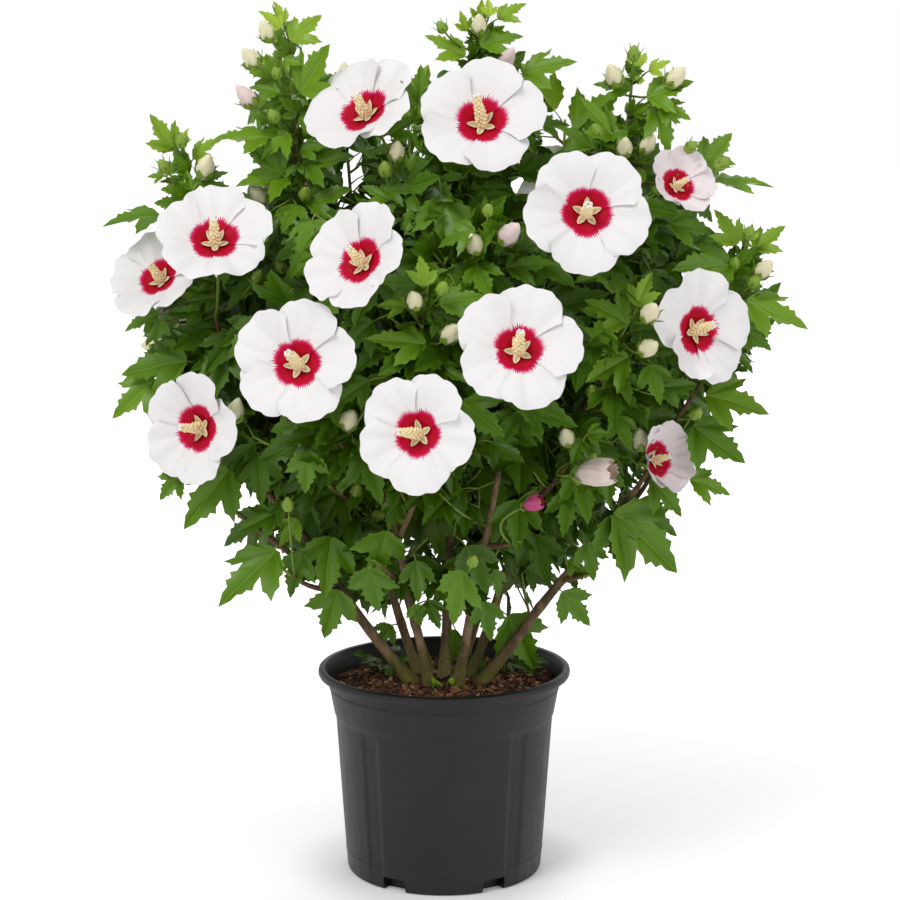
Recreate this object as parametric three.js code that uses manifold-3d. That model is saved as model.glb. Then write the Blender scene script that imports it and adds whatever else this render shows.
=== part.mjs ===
// A hibiscus shrub in flower: a clump of woody stems in a black nursery pot, with leafy sprays,
// open blooms and buds. Millimetres, +Z up, and the viewer looks along +Y.
// The origin is on the pot's axis, at the flat underside that the pot stands on.
import * as THREE from 'three';
import { mergeVertices } from 'three/addons/utils/BufferGeometryUtils.js';
import Module from 'manifold-3d';

const wasm = await Module();
wasm.setup();

// Driving dimensions
const clearance = 0.35; // between any two solids
const weldDistance = 1e-4;
const pot = {
  height: 184, lipRadius: 112.5, lipDepth: 7, lipRound: 1.8, mouthRadius: 106, wall: 2.4,
  collarTopRadius: 104.8, collarFoot: 143, collarFootRadius: 98.6,
  bodyTopRadius: 97.2, baseRadius: 87.5, baseChamfer: 3, floor: 14, segments: 36,
  notches: 6, notchHeight: 12, notchDepth: 11, notchWidth: 18,
  flutes: 4, fluteWidth: 12, fluteDepth: 1.2, fluteFoot: 17, fluteHeadGap: 2, fluteCutOut: 4,
};
const soil = { top: 171.5, dip: 3, flatRadius: 50, edgeGap: 1, collarGap: 2.4, segments: 24 };
const stemLook = {
  sides: 6, rings: 5, flare: 1.35, flareLength: 0.12, tipShare: 0.5, bendOut: 0.46, bendUp: 0.44,
};
const twigLook = {
  baseRadius: 3.4, tipRadius: 2.2, spurRadius: 1.7, spurTipRadius: 1.3, stalkRadius: 1, bloomRadius: 1.8,
  sides: 3, rings: 5, bendOut: 0.62, bendUp: 0.42, sink: 1.5,
};
const leafShape = {
  length: 94, wild: 0.16, rootIn: 0.2, rootHalf: 0.3, ridge: 1, ridgeAlong: 0.5, lobeAlong: 0.5,
  lobeOut: 0.41, sinusAlong: 0.64, sinusOut: 0.2, fold: 0.01,
};
const budShape = { length: 21, radius: 6.8, sides: 4, shoulder: 0.36, stalkFoot: 0.7 };
const bloomShape = {
  segments: 10, cup: 0.32, closing: 0.75, notch: 0.11, calyxLength: 15, calyxRadius: 6.5, calyxShoulder: 0.4,
  throat: 2, columnRadius: 3.6, columnLength: 22, twigSink: 3,
};

// How the sprays grow
const golden = THREE.MathUtils.degToRad(137.5);
const axisGrowth = { attempts: 30, sidestep: 2.5, gapStep: 0.2, farthest: 9, forward: 0.3 };
const bloomGrowth = { rounds: 5, turns: 6, leanOut: 6, sidestep: 5, below: 0.15, lowest: 0.05, straight: 40 };
const leafGrowth = {
  spacing: 18, first: 0.04, last: 0.93, tries: 12, swing: 0.7, forward: 0.45, shorter: 0.85, most: 128,
  youngFrom: 0.75, smallFrom: 0.7, smallest: 0.62,
};
const leafHang = {
  lowHeight: 300, highHeight: 720, turnOut: 1.2, outward: 0.45, drop: -1, rise: 0.1, youngRise: 0.6,
  faceWild: 0.4, faceUp: 0.55, youngFaceUp: 0.2, faceOut: 0.75,
};
const spurGrowth = {
  length: 96, shorten: 0.55, least: 0.7, wild: 0.6, spacing: 22, outward: 0.7, rise: 0.55, last: 0.9,
};
const reachGrowth = { share: 0.9, shareStep: 0.1, roll: 40, faceOut: 130, faceUp: 110, middleY: 60 };
const budGrowth = { first: 0.99, step: 0.035, aside: 0.8, tipStalk: 2, stalk: 15 };
const bloomView = { behind: -8, ahead: 130, leafMiddle: 0.6, spread: 0.95 };

// The crown's outline from the front: height, reach to the left and reach to the right
const crown = {
  outline: [
    [205, 100, 110], [262, 198, 185], [345, 240, 262], [418, 292, 292], [495, 296, 320], [584, 298, 306],
    [640, 270, 262], [672, 250, 222], [700, 200, 214], [738, 172, 190], [776, 165, 104],
  ],
  depthShare: 0.86, twigShare: 0.84,
};

// The clump: where each stem stands on the soil, where it ends, and its radius at the foot
const stems = [
  { name: 'stem_left_low', foot: [-27, -10], tip: [-150, -68, 352], radius: 6.2 },
  { name: 'stem_left', foot: [-22, 12], tip: [-104, -8, 428], radius: 5.2 },
  { name: 'stem_front_left', foot: [-12, -20], tip: [-60, -104, 408], radius: 4.8 },
  { name: 'stem_centre', foot: [0, 2], tip: [8, 6, 474], radius: 5.8 },
  { name: 'stem_front_right', foot: [11, -21], tip: [48, -112, 392], radius: 5.6 },
  { name: 'stem_right', foot: [22, 8], tip: [112, -16, 438], radius: 5.4 },
  { name: 'stem_right_low', foot: [31, -9], tip: [166, -60, 356], radius: 6.4 },
  { name: 'stem_back_left', foot: [-14, 30], tip: [-84, 112, 402], radius: 5.4 },
  { name: 'stem_back_right', foot: [14, 28], tip: [86, 116, 410], radius: 5.2 },
  { name: 'stem_back', foot: [0, 44], tip: [4, 140, 356], radius: 4.8 },
];

// An open bloom: the middle of its eye, the way it faces and its radius. Turn 0 faces the viewer
const bloom = (x, y, z, turn, lift, radius, open = 1) => ({ at: [x, y, z], turn, lift, radius, open });

// The sprays of foliage: the stem and the share of its length that each grows from, its tip, the
// blooms that it bears, the buds at its tip, and the leaf tips that mark the crown's outline
const sprays = [
  { name: 'spray_left_tall', stem: 'stem_left', from: 1, tip: [-132, -22, 748], buds: 4, tall: true,
    reach: [[-78, -20, 742], [-190, -10, 642], [-70, -30, 690], [-62, -20, 612]] },
  { name: 'spray_left_high', stem: 'stem_left_low', from: 1, tip: [-222, -32, 650], buds: 4, tall: true,
    blooms: [bloom(-189, -112, 560, 2, 34, 47)],
    reach: [[-246, -30, 668], [-186, -20, 654], [-288, 0, 584]] },
  { name: 'spray_top_left', stem: 'stem_front_left', from: 1, tip: [-38, -64, 700], buds: 2,
    blooms: [bloom(-63, -66, 669, -28, 34, 49)], reach: [[-24, -20, 716], [-10, 0, 690]] },
  { name: 'spray_top', stem: 'stem_centre', from: 1, tip: [33, -36, 752], buds: 5, tall: true,
    blooms: [bloom(30, -92, 660, -5, 22, 53)],
    reach: [[72, -30, 772], [-10, -30, 742], [100, -20, 712], [94, -20, 668]] },
  { name: 'spray_right_tall', stem: 'stem_right', from: 1, tip: [158, -52, 712], buds: 4, tall: true,
    blooms: [bloom(192, -66, 605, 36, 18, 34, 0.45)],
    reach: [[110, -40, 690], [190, -40, 726], [218, -20, 668], [92, -10, 636]] },
  { name: 'spray_right_high', stem: 'stem_right_low', from: 1, tip: [256, -40, 566], buds: 4, tall: true,
    blooms: [bloom(203, -112, 491, 32, 4, 49)],
    reach: [[282, -30, 582], [314, 0, 494], [236, -30, 590], [286, -10, 470]] },
  { name: 'spray_right_low', stem: 'stem_right_low', from: 0.82, tip: [196, -50, 392], buds: 2,
    blooms: [bloom(184, -62, 377, 50, 8, 31, 0.45)],
    reach: [[278, -10, 430], [262, 0, 368], [253, -30, 348]] },
  { name: 'spray_front_centre', stem: 'stem_front_left', from: 0.84, tip: [-12, -184, 540], buds: 4,
    blooms: [bloom(-58, -190, 552, -28, 20, 47)], reach: [[-14, -200, 566], [-60, -200, 500]] },
  { name: 'spray_front_high', stem: 'stem_centre', from: 0.8, tip: [34, -150, 590], buds: 4,
    blooms: [bloom(114, -150, 589, 0, 6, 52)], reach: [[-14, -130, 610]] },
  { name: 'spray_front_right', stem: 'stem_right', from: 0.8, tip: [158, -138, 522], buds: 4,
    reach: [[162, -150, 552], [130, -150, 530], [120, -170, 470]] },
  { name: 'spray_middle', stem: 'stem_front_right', from: 1, tip: [50, -176, 470], buds: 1,
    blooms: [bloom(56, -214, 489, 2, 12, 50)], reach: [[86, -200, 430]] },
  { name: 'spray_middle_left', stem: 'stem_front_left', from: 0.74, tip: [-98, -150, 456], buds: 2,
    blooms: [bloom(-115, -190, 473, -6, 10, 49)], reach: [[-70, -190, 430]] },
  { name: 'spray_middle_low', stem: 'stem_front_left', from: 0.58, tip: [-20, -186, 410], buds: 2,
    blooms: [bloom(-18, -225, 423, -6, 2, 47)], reach: [[-70, -200, 380]] },
  { name: 'spray_left_upper', stem: 'stem_left_low', from: 0.86, tip: [-226, -34, 520], buds: 2,
    blooms: [bloom(-237, -62, 532, -22, 20, 44)], reach: [[-284, -20, 510], [-246, 0, 560]] },
  { name: 'spray_left_low', stem: 'stem_left_low', from: 0.56, tip: [-214, -88, 384], buds: 3,
    blooms: [bloom(-199, -112, 413, -30, 3, 48)],
    reach: [[-284, -30, 418], [-243, -60, 353], [-272, -20, 462]] },
  { name: 'spray_skirt_left', stem: 'stem_left_low', from: 0.5, tip: [-140, -84, 292], buds: 2,
    reach: [[-190, -70, 263], [-130, -100, 273], [-172, -90, 311], [-152, -110, 336], [-226, -50, 322]] },
  { name: 'spray_skirt_right', stem: 'stem_right_low', from: 0.54, tip: [150, -96, 300], buds: 1,
    reach: [[207, -50, 285], [170, -110, 270], [136, -140, 342]] },
  { name: 'spray_skirt_front_left', stem: 'stem_front_left', from: 0.42, tip: [-62, -140, 312], buds: 2,
    reach: [[-102, -110, 238], [-79, -140, 275], [-58, -170, 298], [-37, -170, 298]] },
  { name: 'spray_skirt_front', stem: 'stem_front_right', from: 0.4, tip: [6, -150, 300], buds: 2,
    reach: [[9, -150, 256], [38, -160, 272], [-11, -190, 320]] },
  { name: 'spray_skirt_front_right', stem: 'stem_front_right', from: 0.62, tip: [98, -140, 340], buds: 2,
    reach: [[73, -120, 215], [124, -90, 244], [62, -150, 285],
      [81, -180, 341], [140, -130, 300]] },
  { name: 'spray_inner_left', stem: 'stem_left', from: 0.62, tip: [-104, -92, 372], buds: 1,
    reach: [[-108, -160, 370], [-85, -150, 327], [-160, -120, 380]] },
  { name: 'spray_inner_centre', stem: 'stem_centre', from: 0.5, tip: [14, -118, 392], buds: 1,
    reach: [[25, -190, 351], [49, -180, 329]] },
  { name: 'spray_inner_right', stem: 'stem_right', from: 0.6, tip: [118, -104, 410], buds: 1,
    reach: [[126, -150, 385], [106, -160, 378], [160, -130, 406], [150, -120, 440]] },
  { name: 'spray_side_left', stem: 'stem_left', from: 0.8, tip: [-248, 62, 470], buds: 2,
    blooms: [bloom(-262, 72, 486, -104, 14, 47)], reach: [[-290, 40, 440], [-276, 120, 470]] },
  { name: 'spray_side_right', stem: 'stem_right', from: 0.82, tip: [256, 60, 486], buds: 2,
    blooms: [bloom(258, 88, 512, 108, 16, 48)], reach: [[304, 50, 520], [286, 90, 452], [286, 30, 560]] },
  { name: 'spray_back_left_tall', stem: 'stem_back_left', from: 1, tip: [-92, 128, 700], buds: 2,
    tall: true, blooms: [bloom(-118, 170, 628, 206, 22, 49)], reach: [[-140, 120, 690], [-50, 130, 700]] },
  { name: 'spray_back_right_tall', stem: 'stem_back_right', from: 1, tip: [112, 118, 706], buds: 2,
    tall: true, blooms: [bloom(86, 176, 630, 172, 16, 50)], reach: [[160, 110, 694], [70, 120, 720]] },
  { name: 'spray_middle_tall', stem: 'stem_centre', from: 0.72, tip: [-34, 66, 692], buds: 1, tall: true,
    reach: [[-20, 70, 716], [20, 60, 700]] },
  { name: 'spray_back_high', stem: 'stem_centre', from: 0.86, tip: [0, 176, 640], buds: 2,
    blooms: [bloom(-12, 226, 560, 184, 8, 50)], reach: [[-50, 180, 620], [50, 190, 640]] },
  { name: 'spray_back_left', stem: 'stem_back_left', from: 0.8, tip: [-196, 132, 560], buds: 2,
    blooms: [bloom(-176, 190, 500, 222, 8, 48)], reach: [[-250, 130, 560], [-220, 170, 600]] },
  { name: 'spray_back_right', stem: 'stem_back_right', from: 0.8, tip: [206, 128, 566], buds: 2,
    blooms: [bloom(180, 190, 510, 140, 10, 49)], reach: [[262, 120, 560], [240, 160, 600]] },
  { name: 'spray_back_left_low', stem: 'stem_back_left', from: 0.6, tip: [-170, 146, 392], buds: 1,
    blooms: [bloom(-96, 228, 416, 196, 4, 48)], reach: [[-244, 120, 400], [-220, 160, 350]] },
  { name: 'spray_back_right_low', stem: 'stem_back_right', from: 0.6, tip: [172, 150, 396], buds: 1,
    blooms: [bloom(196, 160, 386, 128, 6, 47)], reach: [[252, 120, 396], [216, 170, 340]] },
  { name: 'spray_back_middle', stem: 'stem_back', from: 1, tip: [14, 226, 462], buds: 1,
    blooms: [bloom(62, 236, 450, 164, 8, 50)], reach: [[-20, 262, 470], [30, 266, 400]] },
  { name: 'spray_skirt_back_left', stem: 'stem_back_left', from: 0.44, tip: [-112, 118, 300], buds: 1,
    reach: [[-170, 110, 264], [-120, 160, 250], [-60, 150, 246]] },
  { name: 'spray_skirt_back_right', stem: 'stem_back_right', from: 0.44, tip: [112, 126, 302], buds: 1,
    reach: [[176, 110, 268], [126, 170, 252], [70, 150, 240]] },
  { name: 'spray_skirt_back', stem: 'stem_back', from: 0.6, tip: [6, 190, 316], buds: 1,
    reach: [[10, 230, 262], [-50, 210, 272], [60, 216, 274]] },
  { name: 'spray_skirt_side_left', stem: 'stem_left', from: 0.5, tip: [-146, 40, 322], buds: 1,
    reach: [[-206, 40, 290], [-180, 80, 262]] },
  { name: 'spray_skirt_side_right', stem: 'stem_right', from: 0.52, tip: [152, 46, 330], buds: 1,
    reach: [[216, 40, 300], [184, 86, 270]] },
];

const colours = {
  plastic: new THREE.MeshStandardMaterial({ color: 0x222426, roughness: 0.5 }),
  soil: new THREE.MeshStandardMaterial({ color: 0x4a2b1a, roughness: 1 }),
  bark: new THREE.MeshStandardMaterial({ color: 0x6d5138, roughness: 0.9 }),
  foliage: new THREE.MeshStandardMaterial({ color: 0x2f6d18, roughness: 0.55, side: THREE.DoubleSide }),
};

const vec = (place) => new THREE.Vector3(...place);
const up = vec([0, 0, 1]);

// A repeatable number from 0 to 1 for these keys
function chance(...keys) {
  const mixed = keys.reduce((sum, key, i) => sum + key * (12.9898 + 7.233 * i), 0.137);
  const value = Math.sin(mixed) * 43758.5453;
  return value - Math.floor(value);
}

// A closed geometry as a solid, with its faces turned outwards
function solidOf(geometry) {
  const bare = geometry.clone();
  bare.deleteAttribute('normal');
  bare.deleteAttribute('uv');
  const merged = mergeVertices(bare, weldDistance);
  const build = (corners) => new wasm.Manifold(
    new wasm.Mesh({ numProp: 3, vertProperties: merged.attributes.position.array, triVerts: corners }));
  const corners = new Uint32Array(merged.index.array);
  const solid = build(corners);
  return solid.volume() > 0 ? solid : build(corners.reverse());
}

function geometryOf(solid) {
  const mesh = solid.getMesh();
  const places = new Float32Array(mesh.numVert * 3);
  for (let i = 0; i < mesh.numVert; i++) {
    places.set(mesh.vertProperties.subarray(i * mesh.numProp, i * mesh.numProp + 3), i * 3);
  }
  return new THREE.BufferGeometry()
    .setAttribute('position', new THREE.BufferAttribute(places, 3))
    .setIndex(new THREE.BufferAttribute(mesh.triVerts, 1));
}

// A tapering limb along a curve: a cylinder bent onto it. A pointed limb ends in one vertex
function limb(curve, radiusAt, sides, rings, pointed) {
  const geometry = new THREE.CylinderGeometry(pointed ? 0 : 1, 1, 1, sides, rings, false);
  const frames = curve.computeFrenetFrames(rings, false);
  const place = geometry.attributes.position;
  const step = (Math.PI * 2) / sides;
  for (let i = 0; i < place.count; i++) {
    const share = place.getY(i) + 0.5;
    const ring = Math.round(share * rings);
    const middle = Math.hypot(place.getX(i), place.getZ(i)) < 1e-6;
    const angle = Math.round(Math.atan2(place.getX(i), place.getZ(i)) / step) * step;
    const radius = middle ? 0 : radiusAt(share);
    const point = curve.getPointAt(share)
      .addScaledVector(frames.normals[ring], Math.cos(angle) * radius)
      .addScaledVector(frames.binormals[ring], Math.sin(angle) * radius);
    place.setXYZ(i, point.x, point.y, point.z);
  }
  return solidOf(geometry);
}

function turnedProfile(points, segments) {
  const profile = points.map(([r, z]) => new THREE.Vector2(r, z));
  return new THREE.LatheGeometry(profile, segments).rotateX(Math.PI / 2);
}

const bodyRadius = (z) => THREE.MathUtils.mapLinear(
  z, pot.baseChamfer, pot.collarFoot, pot.baseRadius, pot.bodyTopRadius);

function makePot() {
  const { lipRadius, height, floor, wall, fluteDepth, fluteFoot, fluteWidth } = pot;
  const lipFoot = height - pot.lipDepth;
  const shell = solidOf(turnedProfile([
    [0, 0], [pot.baseRadius - pot.baseChamfer, 0], [pot.baseRadius, pot.baseChamfer],
    [pot.bodyTopRadius, pot.collarFoot - 1], [pot.collarFootRadius, pot.collarFoot],
    [pot.collarTopRadius, lipFoot], [lipRadius, lipFoot], [lipRadius, height - pot.lipRound],
    [lipRadius - pot.lipRound, height], [pot.mouthRadius, height],
    [pot.collarTopRadius - wall, lipFoot - wall], [pot.bodyTopRadius - wall, pot.collarFoot - wall],
    [bodyRadius(floor) - wall, floor], [0, floor],
  ], pot.segments));
  const cuts = [];
  for (let k = 0; k < pot.notches; k++) {
    const notch = new THREE.BoxGeometry(pot.notchWidth, pot.notchDepth * 2, pot.notchHeight * 2);
    notch.translate(0, -pot.baseRadius, 0).rotateZ((Math.PI * 2 * (k + 0.5)) / pot.notches);
    cuts.push(solidOf(notch));
  }
  for (let k = 0; k < pot.flutes; k++) {
    const head = pot.collarFoot - pot.fluteHeadGap;
    const corner = (z, out) => new THREE.Vector2(bodyRadius(z) + out, z);
    const section = new THREE.Shape([
      corner(fluteFoot, -fluteDepth), corner(fluteFoot, pot.fluteCutOut),
      corner(head, pot.fluteCutOut), corner(head, -fluteDepth),
    ]);
    const flute = new THREE.ExtrudeGeometry(section, { depth: fluteWidth, bevelEnabled: false });
    flute.translate(0, 0, -fluteWidth / 2).rotateX(Math.PI / 2);
    flute.rotateZ((Math.PI * 2 * (k + 0.5)) / pot.flutes);
    cuts.push(solidOf(flute));
  }
  return shell.subtract(wasm.Manifold.union(cuts));
}

// The potting mix follows the pot's inside and dips a little towards its wall
function makeSoil() {
  const inside = pot.wall + soil.edgeGap;
  return solidOf(turnedProfile([
    [0, pot.floor + clearance], [bodyRadius(pot.floor) - inside, pot.floor + clearance],
    [pot.bodyTopRadius - inside, pot.collarFoot - inside],
    [pot.collarTopRadius - pot.wall - soil.collarGap, soil.top - soil.dip], [soil.flatRadius, soil.top],
    [0, soil.top],
  ], soil.segments));
}

// A curve with one bend, at a share of the way out and a share of the way up
function bentCurve(start, tip, { bendOut, bendUp }, aside) {
  const bend = start.clone().lerp(tip, bendOut);
  bend.z = THREE.MathUtils.lerp(start.z, tip.z, bendUp);
  return new THREE.QuadraticBezierCurve3(start, bend.add(aside), tip);
}

// A stem leans outwards from where it leaves the soil
function stemCurve(stem) {
  const foot = vec([...stem.foot, soil.top + clearance]);
  return bentCurve(foot, vec(stem.tip), stemLook, new THREE.Vector3());
}

function stemRadius(stem, share) {
  const flare = 1 + (stemLook.flare - 1) * Math.max(0, 1 - share / stemLook.flareLength);
  return stem.radius * flare * THREE.MathUtils.lerp(1, stemLook.tipShare, share);
}

// The flat cut at ground level: the foot's ring lies in the soil's plane
function makeStem(stem) {
  const radiusAt = (share) => stemRadius(stem, share);
  const solid = limb(stemCurve(stem), radiusAt, stemLook.sides, stemLook.rings, false);
  return solid.trimByPlane([0, 0, 1], soil.top + clearance);
}

const facing = (turn, lift) => {
  const [a, e] = [turn, lift].map(THREE.MathUtils.degToRad);
  return vec([Math.sin(a) * Math.cos(e), -Math.cos(a) * Math.cos(e), Math.sin(e)]);
};

// Moves a solid's own +Z onto a direction and its origin onto a place
function standOn(geometry, place, direction) {
  geometry.applyQuaternion(new THREE.Quaternion().setFromUnitVectors(up, direction));
  return geometry.translate(place.x, place.y, place.z);
}

// Five overlapping petals as one scalloped saucer, with the column in front and the calyx behind
function makeBloom(middle, direction, flower) {
  const wide = flower.radius * Math.sin((flower.open * Math.PI) / 2);
  const deep = flower.radius * (bloomShape.cup + bloomShape.closing * (1 - flower.open));
  const { calyxLength, calyxRadius, calyxShoulder, columnRadius, columnLength, throat } = bloomShape;
  const geometry = turnedProfile([
    [0, -calyxLength], [calyxRadius, -calyxLength * calyxShoulder], [wide, deep],
    [columnRadius, -throat], [0, columnLength],
  ], bloomShape.segments);
  const petals = bloomShape.segments / 2;
  const place = geometry.attributes.position;
  for (let i = 0; i < place.count; i++) {
    const angle = Math.atan2(place.getY(i), place.getX(i));
    const scallop = 1 - bloomShape.notch * (0.5 - 0.5 * Math.cos(petals * angle));
    place.setXYZ(i, place.getX(i) * scallop, place.getY(i) * scallop, place.getZ(i));
  }
  return solidOf(standOn(geometry, middle, direction));
}

// A bud and the stalk that carries it from its root
function makeBud(root, direction, stalk) {
  const { length, radius, sides, shoulder, stalkFoot } = budShape;
  const profile = [
    [0, 0], [twigLook.stalkRadius * stalkFoot, 0], [twigLook.stalkRadius, stalk],
    [radius, stalk + length * shoulder], [0, stalk + length],
  ];
  return solidOf(standOn(turnedProfile(profile, sides), root, direction));
}

// A three-lobed blade, narrow at its root. It is thickest along its middle and thins to its edge
function makeLeaf(root, direction, normal, length) {
  const side = new THREE.Vector3().crossVectors(normal, direction);
  const at = (along, out, lift) => root.clone().addScaledVector(direction, along)
    .addScaledVector(side, out).addScaledVector(normal, lift);
  const { rootIn, rootHalf, ridge, ridgeAlong } = leafShape;
  const [lobeAlong, lobeOut] = [length * leafShape.lobeAlong, length * leafShape.lobeOut];
  const [sinusAlong, sinusOut] = [length * leafShape.sinusAlong, length * leafShape.sinusOut];
  const lobeLift = -length * leafShape.fold;
  const points = [
    at(rootIn, 0, rootHalf), at(rootIn, 0, -rootHalf), at(length * ridgeAlong, 0, ridge),
    at(lobeAlong, lobeOut, lobeLift), at(sinusAlong, sinusOut, 0), at(length, 0, 0),
    at(sinusAlong, -sinusOut, 0), at(lobeAlong, -lobeOut, lobeLift),
  ];
  const upper = [0, 2, 3, 0, 7, 2, 2, 4, 3, 2, 5, 4, 2, 6, 5, 2, 7, 6];
  const lower = [1, 3, 7, 3, 4, 6, 3, 6, 7, 4, 5, 6];
  const rootSides = [0, 3, 1, 0, 1, 7];
  const blade = new THREE.BufferGeometry().setFromPoints(points);
  return solidOf(blade.setIndex([...upper, ...lower, ...rootSides]));
}

// How a leaf hangs: away from the twig, out of the crown, and down in the lower crown. Its face is
// turned up and outwards, and a little at random
function leafPose(place, away, young, key) {
  const outward = new THREE.Vector3(place.x, place.y, 0).normalize();
  const high = THREE.MathUtils.smoothstep(place.z, leafHang.lowHeight, leafHang.highHeight);
  const inward = Math.min(0, away.dot(outward));
  const rise = THREE.MathUtils.lerp(leafHang.drop, leafHang.rise, high) + young * leafHang.youngRise;
  const direction = away.clone().addScaledVector(outward, leafHang.outward - leafHang.turnOut * inward)
    .addScaledVector(up, rise).normalize();
  const turn = chance(key, 17) * Math.PI * 2;
  const normal = vec([Math.cos(turn), Math.sin(turn), 0]).multiplyScalar(leafHang.faceWild)
    .addScaledVector(up, leafHang.faceUp + young * leafHang.youngFaceUp)
    .addScaledVector(outward, leafHang.faceOut);
  return { direction, normal: squareOff(normal, direction) };
}

function squareOff(normal, direction) {
  return normal.addScaledVector(direction, -normal.dot(direction)).normalize();
}

// How far out a place is: 1 on the crown's outline, which is an ellipse at each height
function outwardShare(place) {
  const { outline, depthShare } = crown;
  const row = Math.max(1, outline.findIndex(([z]) => place.z < z));
  if (place.z < outline[0][0] || place.z > outline.at(-1)[0]) return Infinity;
  const [low, high] = [outline[row - 1], outline[row]];
  const column = place.x < 0 ? 1 : 2;
  const reach = THREE.MathUtils.mapLinear(place.z, low[0], high[0], low[column], high[column]);
  return Math.hypot(place.x / reach, place.y / (reach * depthShare));
}

// Everything that stands so far, so that what grows next keeps clear of it
const standing = [];
const nearby = 1;

function boxesMeet(a, b) {
  return a.min.every((low, i) => low < b.max[i] + nearby) && b.min.every((low, i) => low < a.max[i] + nearby);
}

// Clear of everything but its own carrier, the twig or stalk that it is rooted in
function isClear(solid, carrier) {
  const box = solid.boundingBox();
  return standing.every((other) => other === carrier || !boxesMeet(box, other.box)
    || solid.minGap(other.solid, nearby) >= clearance);
}

function stand(owner, solid) {
  const entry = { owner, solid, box: solid.boundingBox() };
  standing.push(entry);
  return entry;
}

// Lets a solid stand where it is clear, and skips it otherwise
function grow(owner, solid, carrier) {
  return isClear(solid, carrier) ? stand(owner, solid) : null;
}

const axisRadius = (share) => THREE.MathUtils.lerp(twigLook.baseRadius, twigLook.tipRadius, share);

// A step aside that grows with each attempt
function sidestep(key, attempt, step) {
  const turn = chance(key, attempt, 3) * Math.PI * 2;
  return vec([Math.cos(turn), Math.sin(turn), chance(key, attempt, 4) - 0.5]).multiplyScalar(attempt * step);
}

// A place on a limb's own axis, which runs straight from ring to ring
function pointOn(curve, rings, share) {
  const ring = Math.min(rings - 1, Math.floor(share * rings));
  const [low, high] = [ring, ring + 1].map((i) => curve.getPointAt(i / rings));
  return low.lerp(high, share * rings - ring);
}

// The spray's own stem starts just clear of the stem that carries it, and bows aside if something
// is in its way
function growAxis(spray, order) {
  const stem = stems.find((one) => one.name === spray.stem);
  const carrier = stemCurve(stem);
  const foot = pointOn(carrier, stemLook.rings, spray.from);
  const tip = vec(spray.tip);
  const along = carrier.getTangentAt(spray.from);
  const line = tip.clone().sub(foot).normalize();
  const atTip = spray.from === 1;
  const square = line.addScaledVector(along, axisGrowth.forward - line.dot(along)).normalize();
  const away = atTip ? along : square;
  for (let attempt = 0; attempt < axisGrowth.attempts; attempt++) {
    const aside = sidestep(order, attempt, axisGrowth.sidestep);
    const farthest = stem.radius + axisGrowth.farthest;
    for (let gap = atTip ? clearance : 0; gap < farthest; gap += axisGrowth.gapStep) {
      const curve = bentCurve(foot.clone().addScaledVector(away, gap), tip, twigLook, aside);
      const entry = grow(spray.name, limb(curve, axisRadius, twigLook.sides, twigLook.rings, true));
      if (entry) {
        const pointAt = (share) => pointOn(curve, twigLook.rings, share);
        return { entry, pointAt, tangentAt: (share) => curve.getTangentAt(share), length: curve.getLength() };
      }
    }
  }
  throw new Error(spray.name + ' finds no way past what stands there');
}

// The share of an axis's length whose distance from a place comes closest to the one wanted
function shareAt(axis, place, wanted) {
  const misfit = (share) => Math.abs(axis.pointAt(share).distanceTo(place) - wanted);
  const shares = Array.from({ length: 19 }, (_, i) => (i + 1) / 20);
  return shares.reduce((best, share) => (misfit(share) < misfit(best) ? share : best));
}

// A bloom hangs on a twig that leaves the axis below it and comes in along the bloom's own line.
// It leans out, and the twig bows aside, until both are clear
function growBloom(spray, axis, order, flower) {
  const direction = facing(flower.turn, flower.lift);
  const { rounds, turns, leanOut, below, lowest, straight } = bloomGrowth;
  for (let attempt = 0; attempt < rounds * turns; attempt++) {
    const at = vec(flower.at).addScaledVector(direction, Math.floor(attempt / turns) * leanOut);
    const back = at.clone().addScaledVector(direction, bloomShape.twigSink - bloomShape.calyxLength);
    const root = axis.pointAt(Math.max(lowest, shareAt(axis, back, 0) - below));
    const bend = back.clone().addScaledVector(direction, -Math.min(straight, root.distanceTo(back) / 2))
      .add(sidestep(order, attempt % turns, bloomGrowth.sidestep));
    const curve = new THREE.QuadraticBezierCurve3(root, bend, back);
    const twig = limb(curve, () => twigLook.bloomRadius, 3, 2, false);
    const whole = makeBloom(at, direction, flower).add(twig);
    if (grow(spray.name, whole, axis.entry)) return;
  }
  throw new Error(spray.name + ' has no room for its bloom at ' + flower.at);
}

// Directions square to a twig, turned by an angle about it
function squareTo(tangent, angle) {
  const level = Math.abs(tangent.z) > 0.95 ? vec([1, 0, 0]) : up;
  const first = new THREE.Vector3().crossVectors(tangent, level).normalize();
  const second = new THREE.Vector3().crossVectors(tangent, first);
  return first.multiplyScalar(Math.cos(angle)).addScaledVector(second, Math.sin(angle));
}

// A leaf in front of an open bloom would hide it
function hidesBloom(root, direction, length) {
  const middle = root.clone().addScaledVector(direction, length * bloomView.leafMiddle);
  return sprays.some((spray) => (spray.blooms ?? []).some((flower) => {
    const face = facing(flower.turn, flower.lift);
    const offset = middle.clone().sub(vec(flower.at));
    const ahead = offset.dot(face);
    const aside = offset.addScaledVector(face, -ahead).length();
    const { behind, spread } = bloomView;
    return ahead > behind && ahead < bloomView.ahead && aside < flower.radius * spread;
  }));
}

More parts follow.
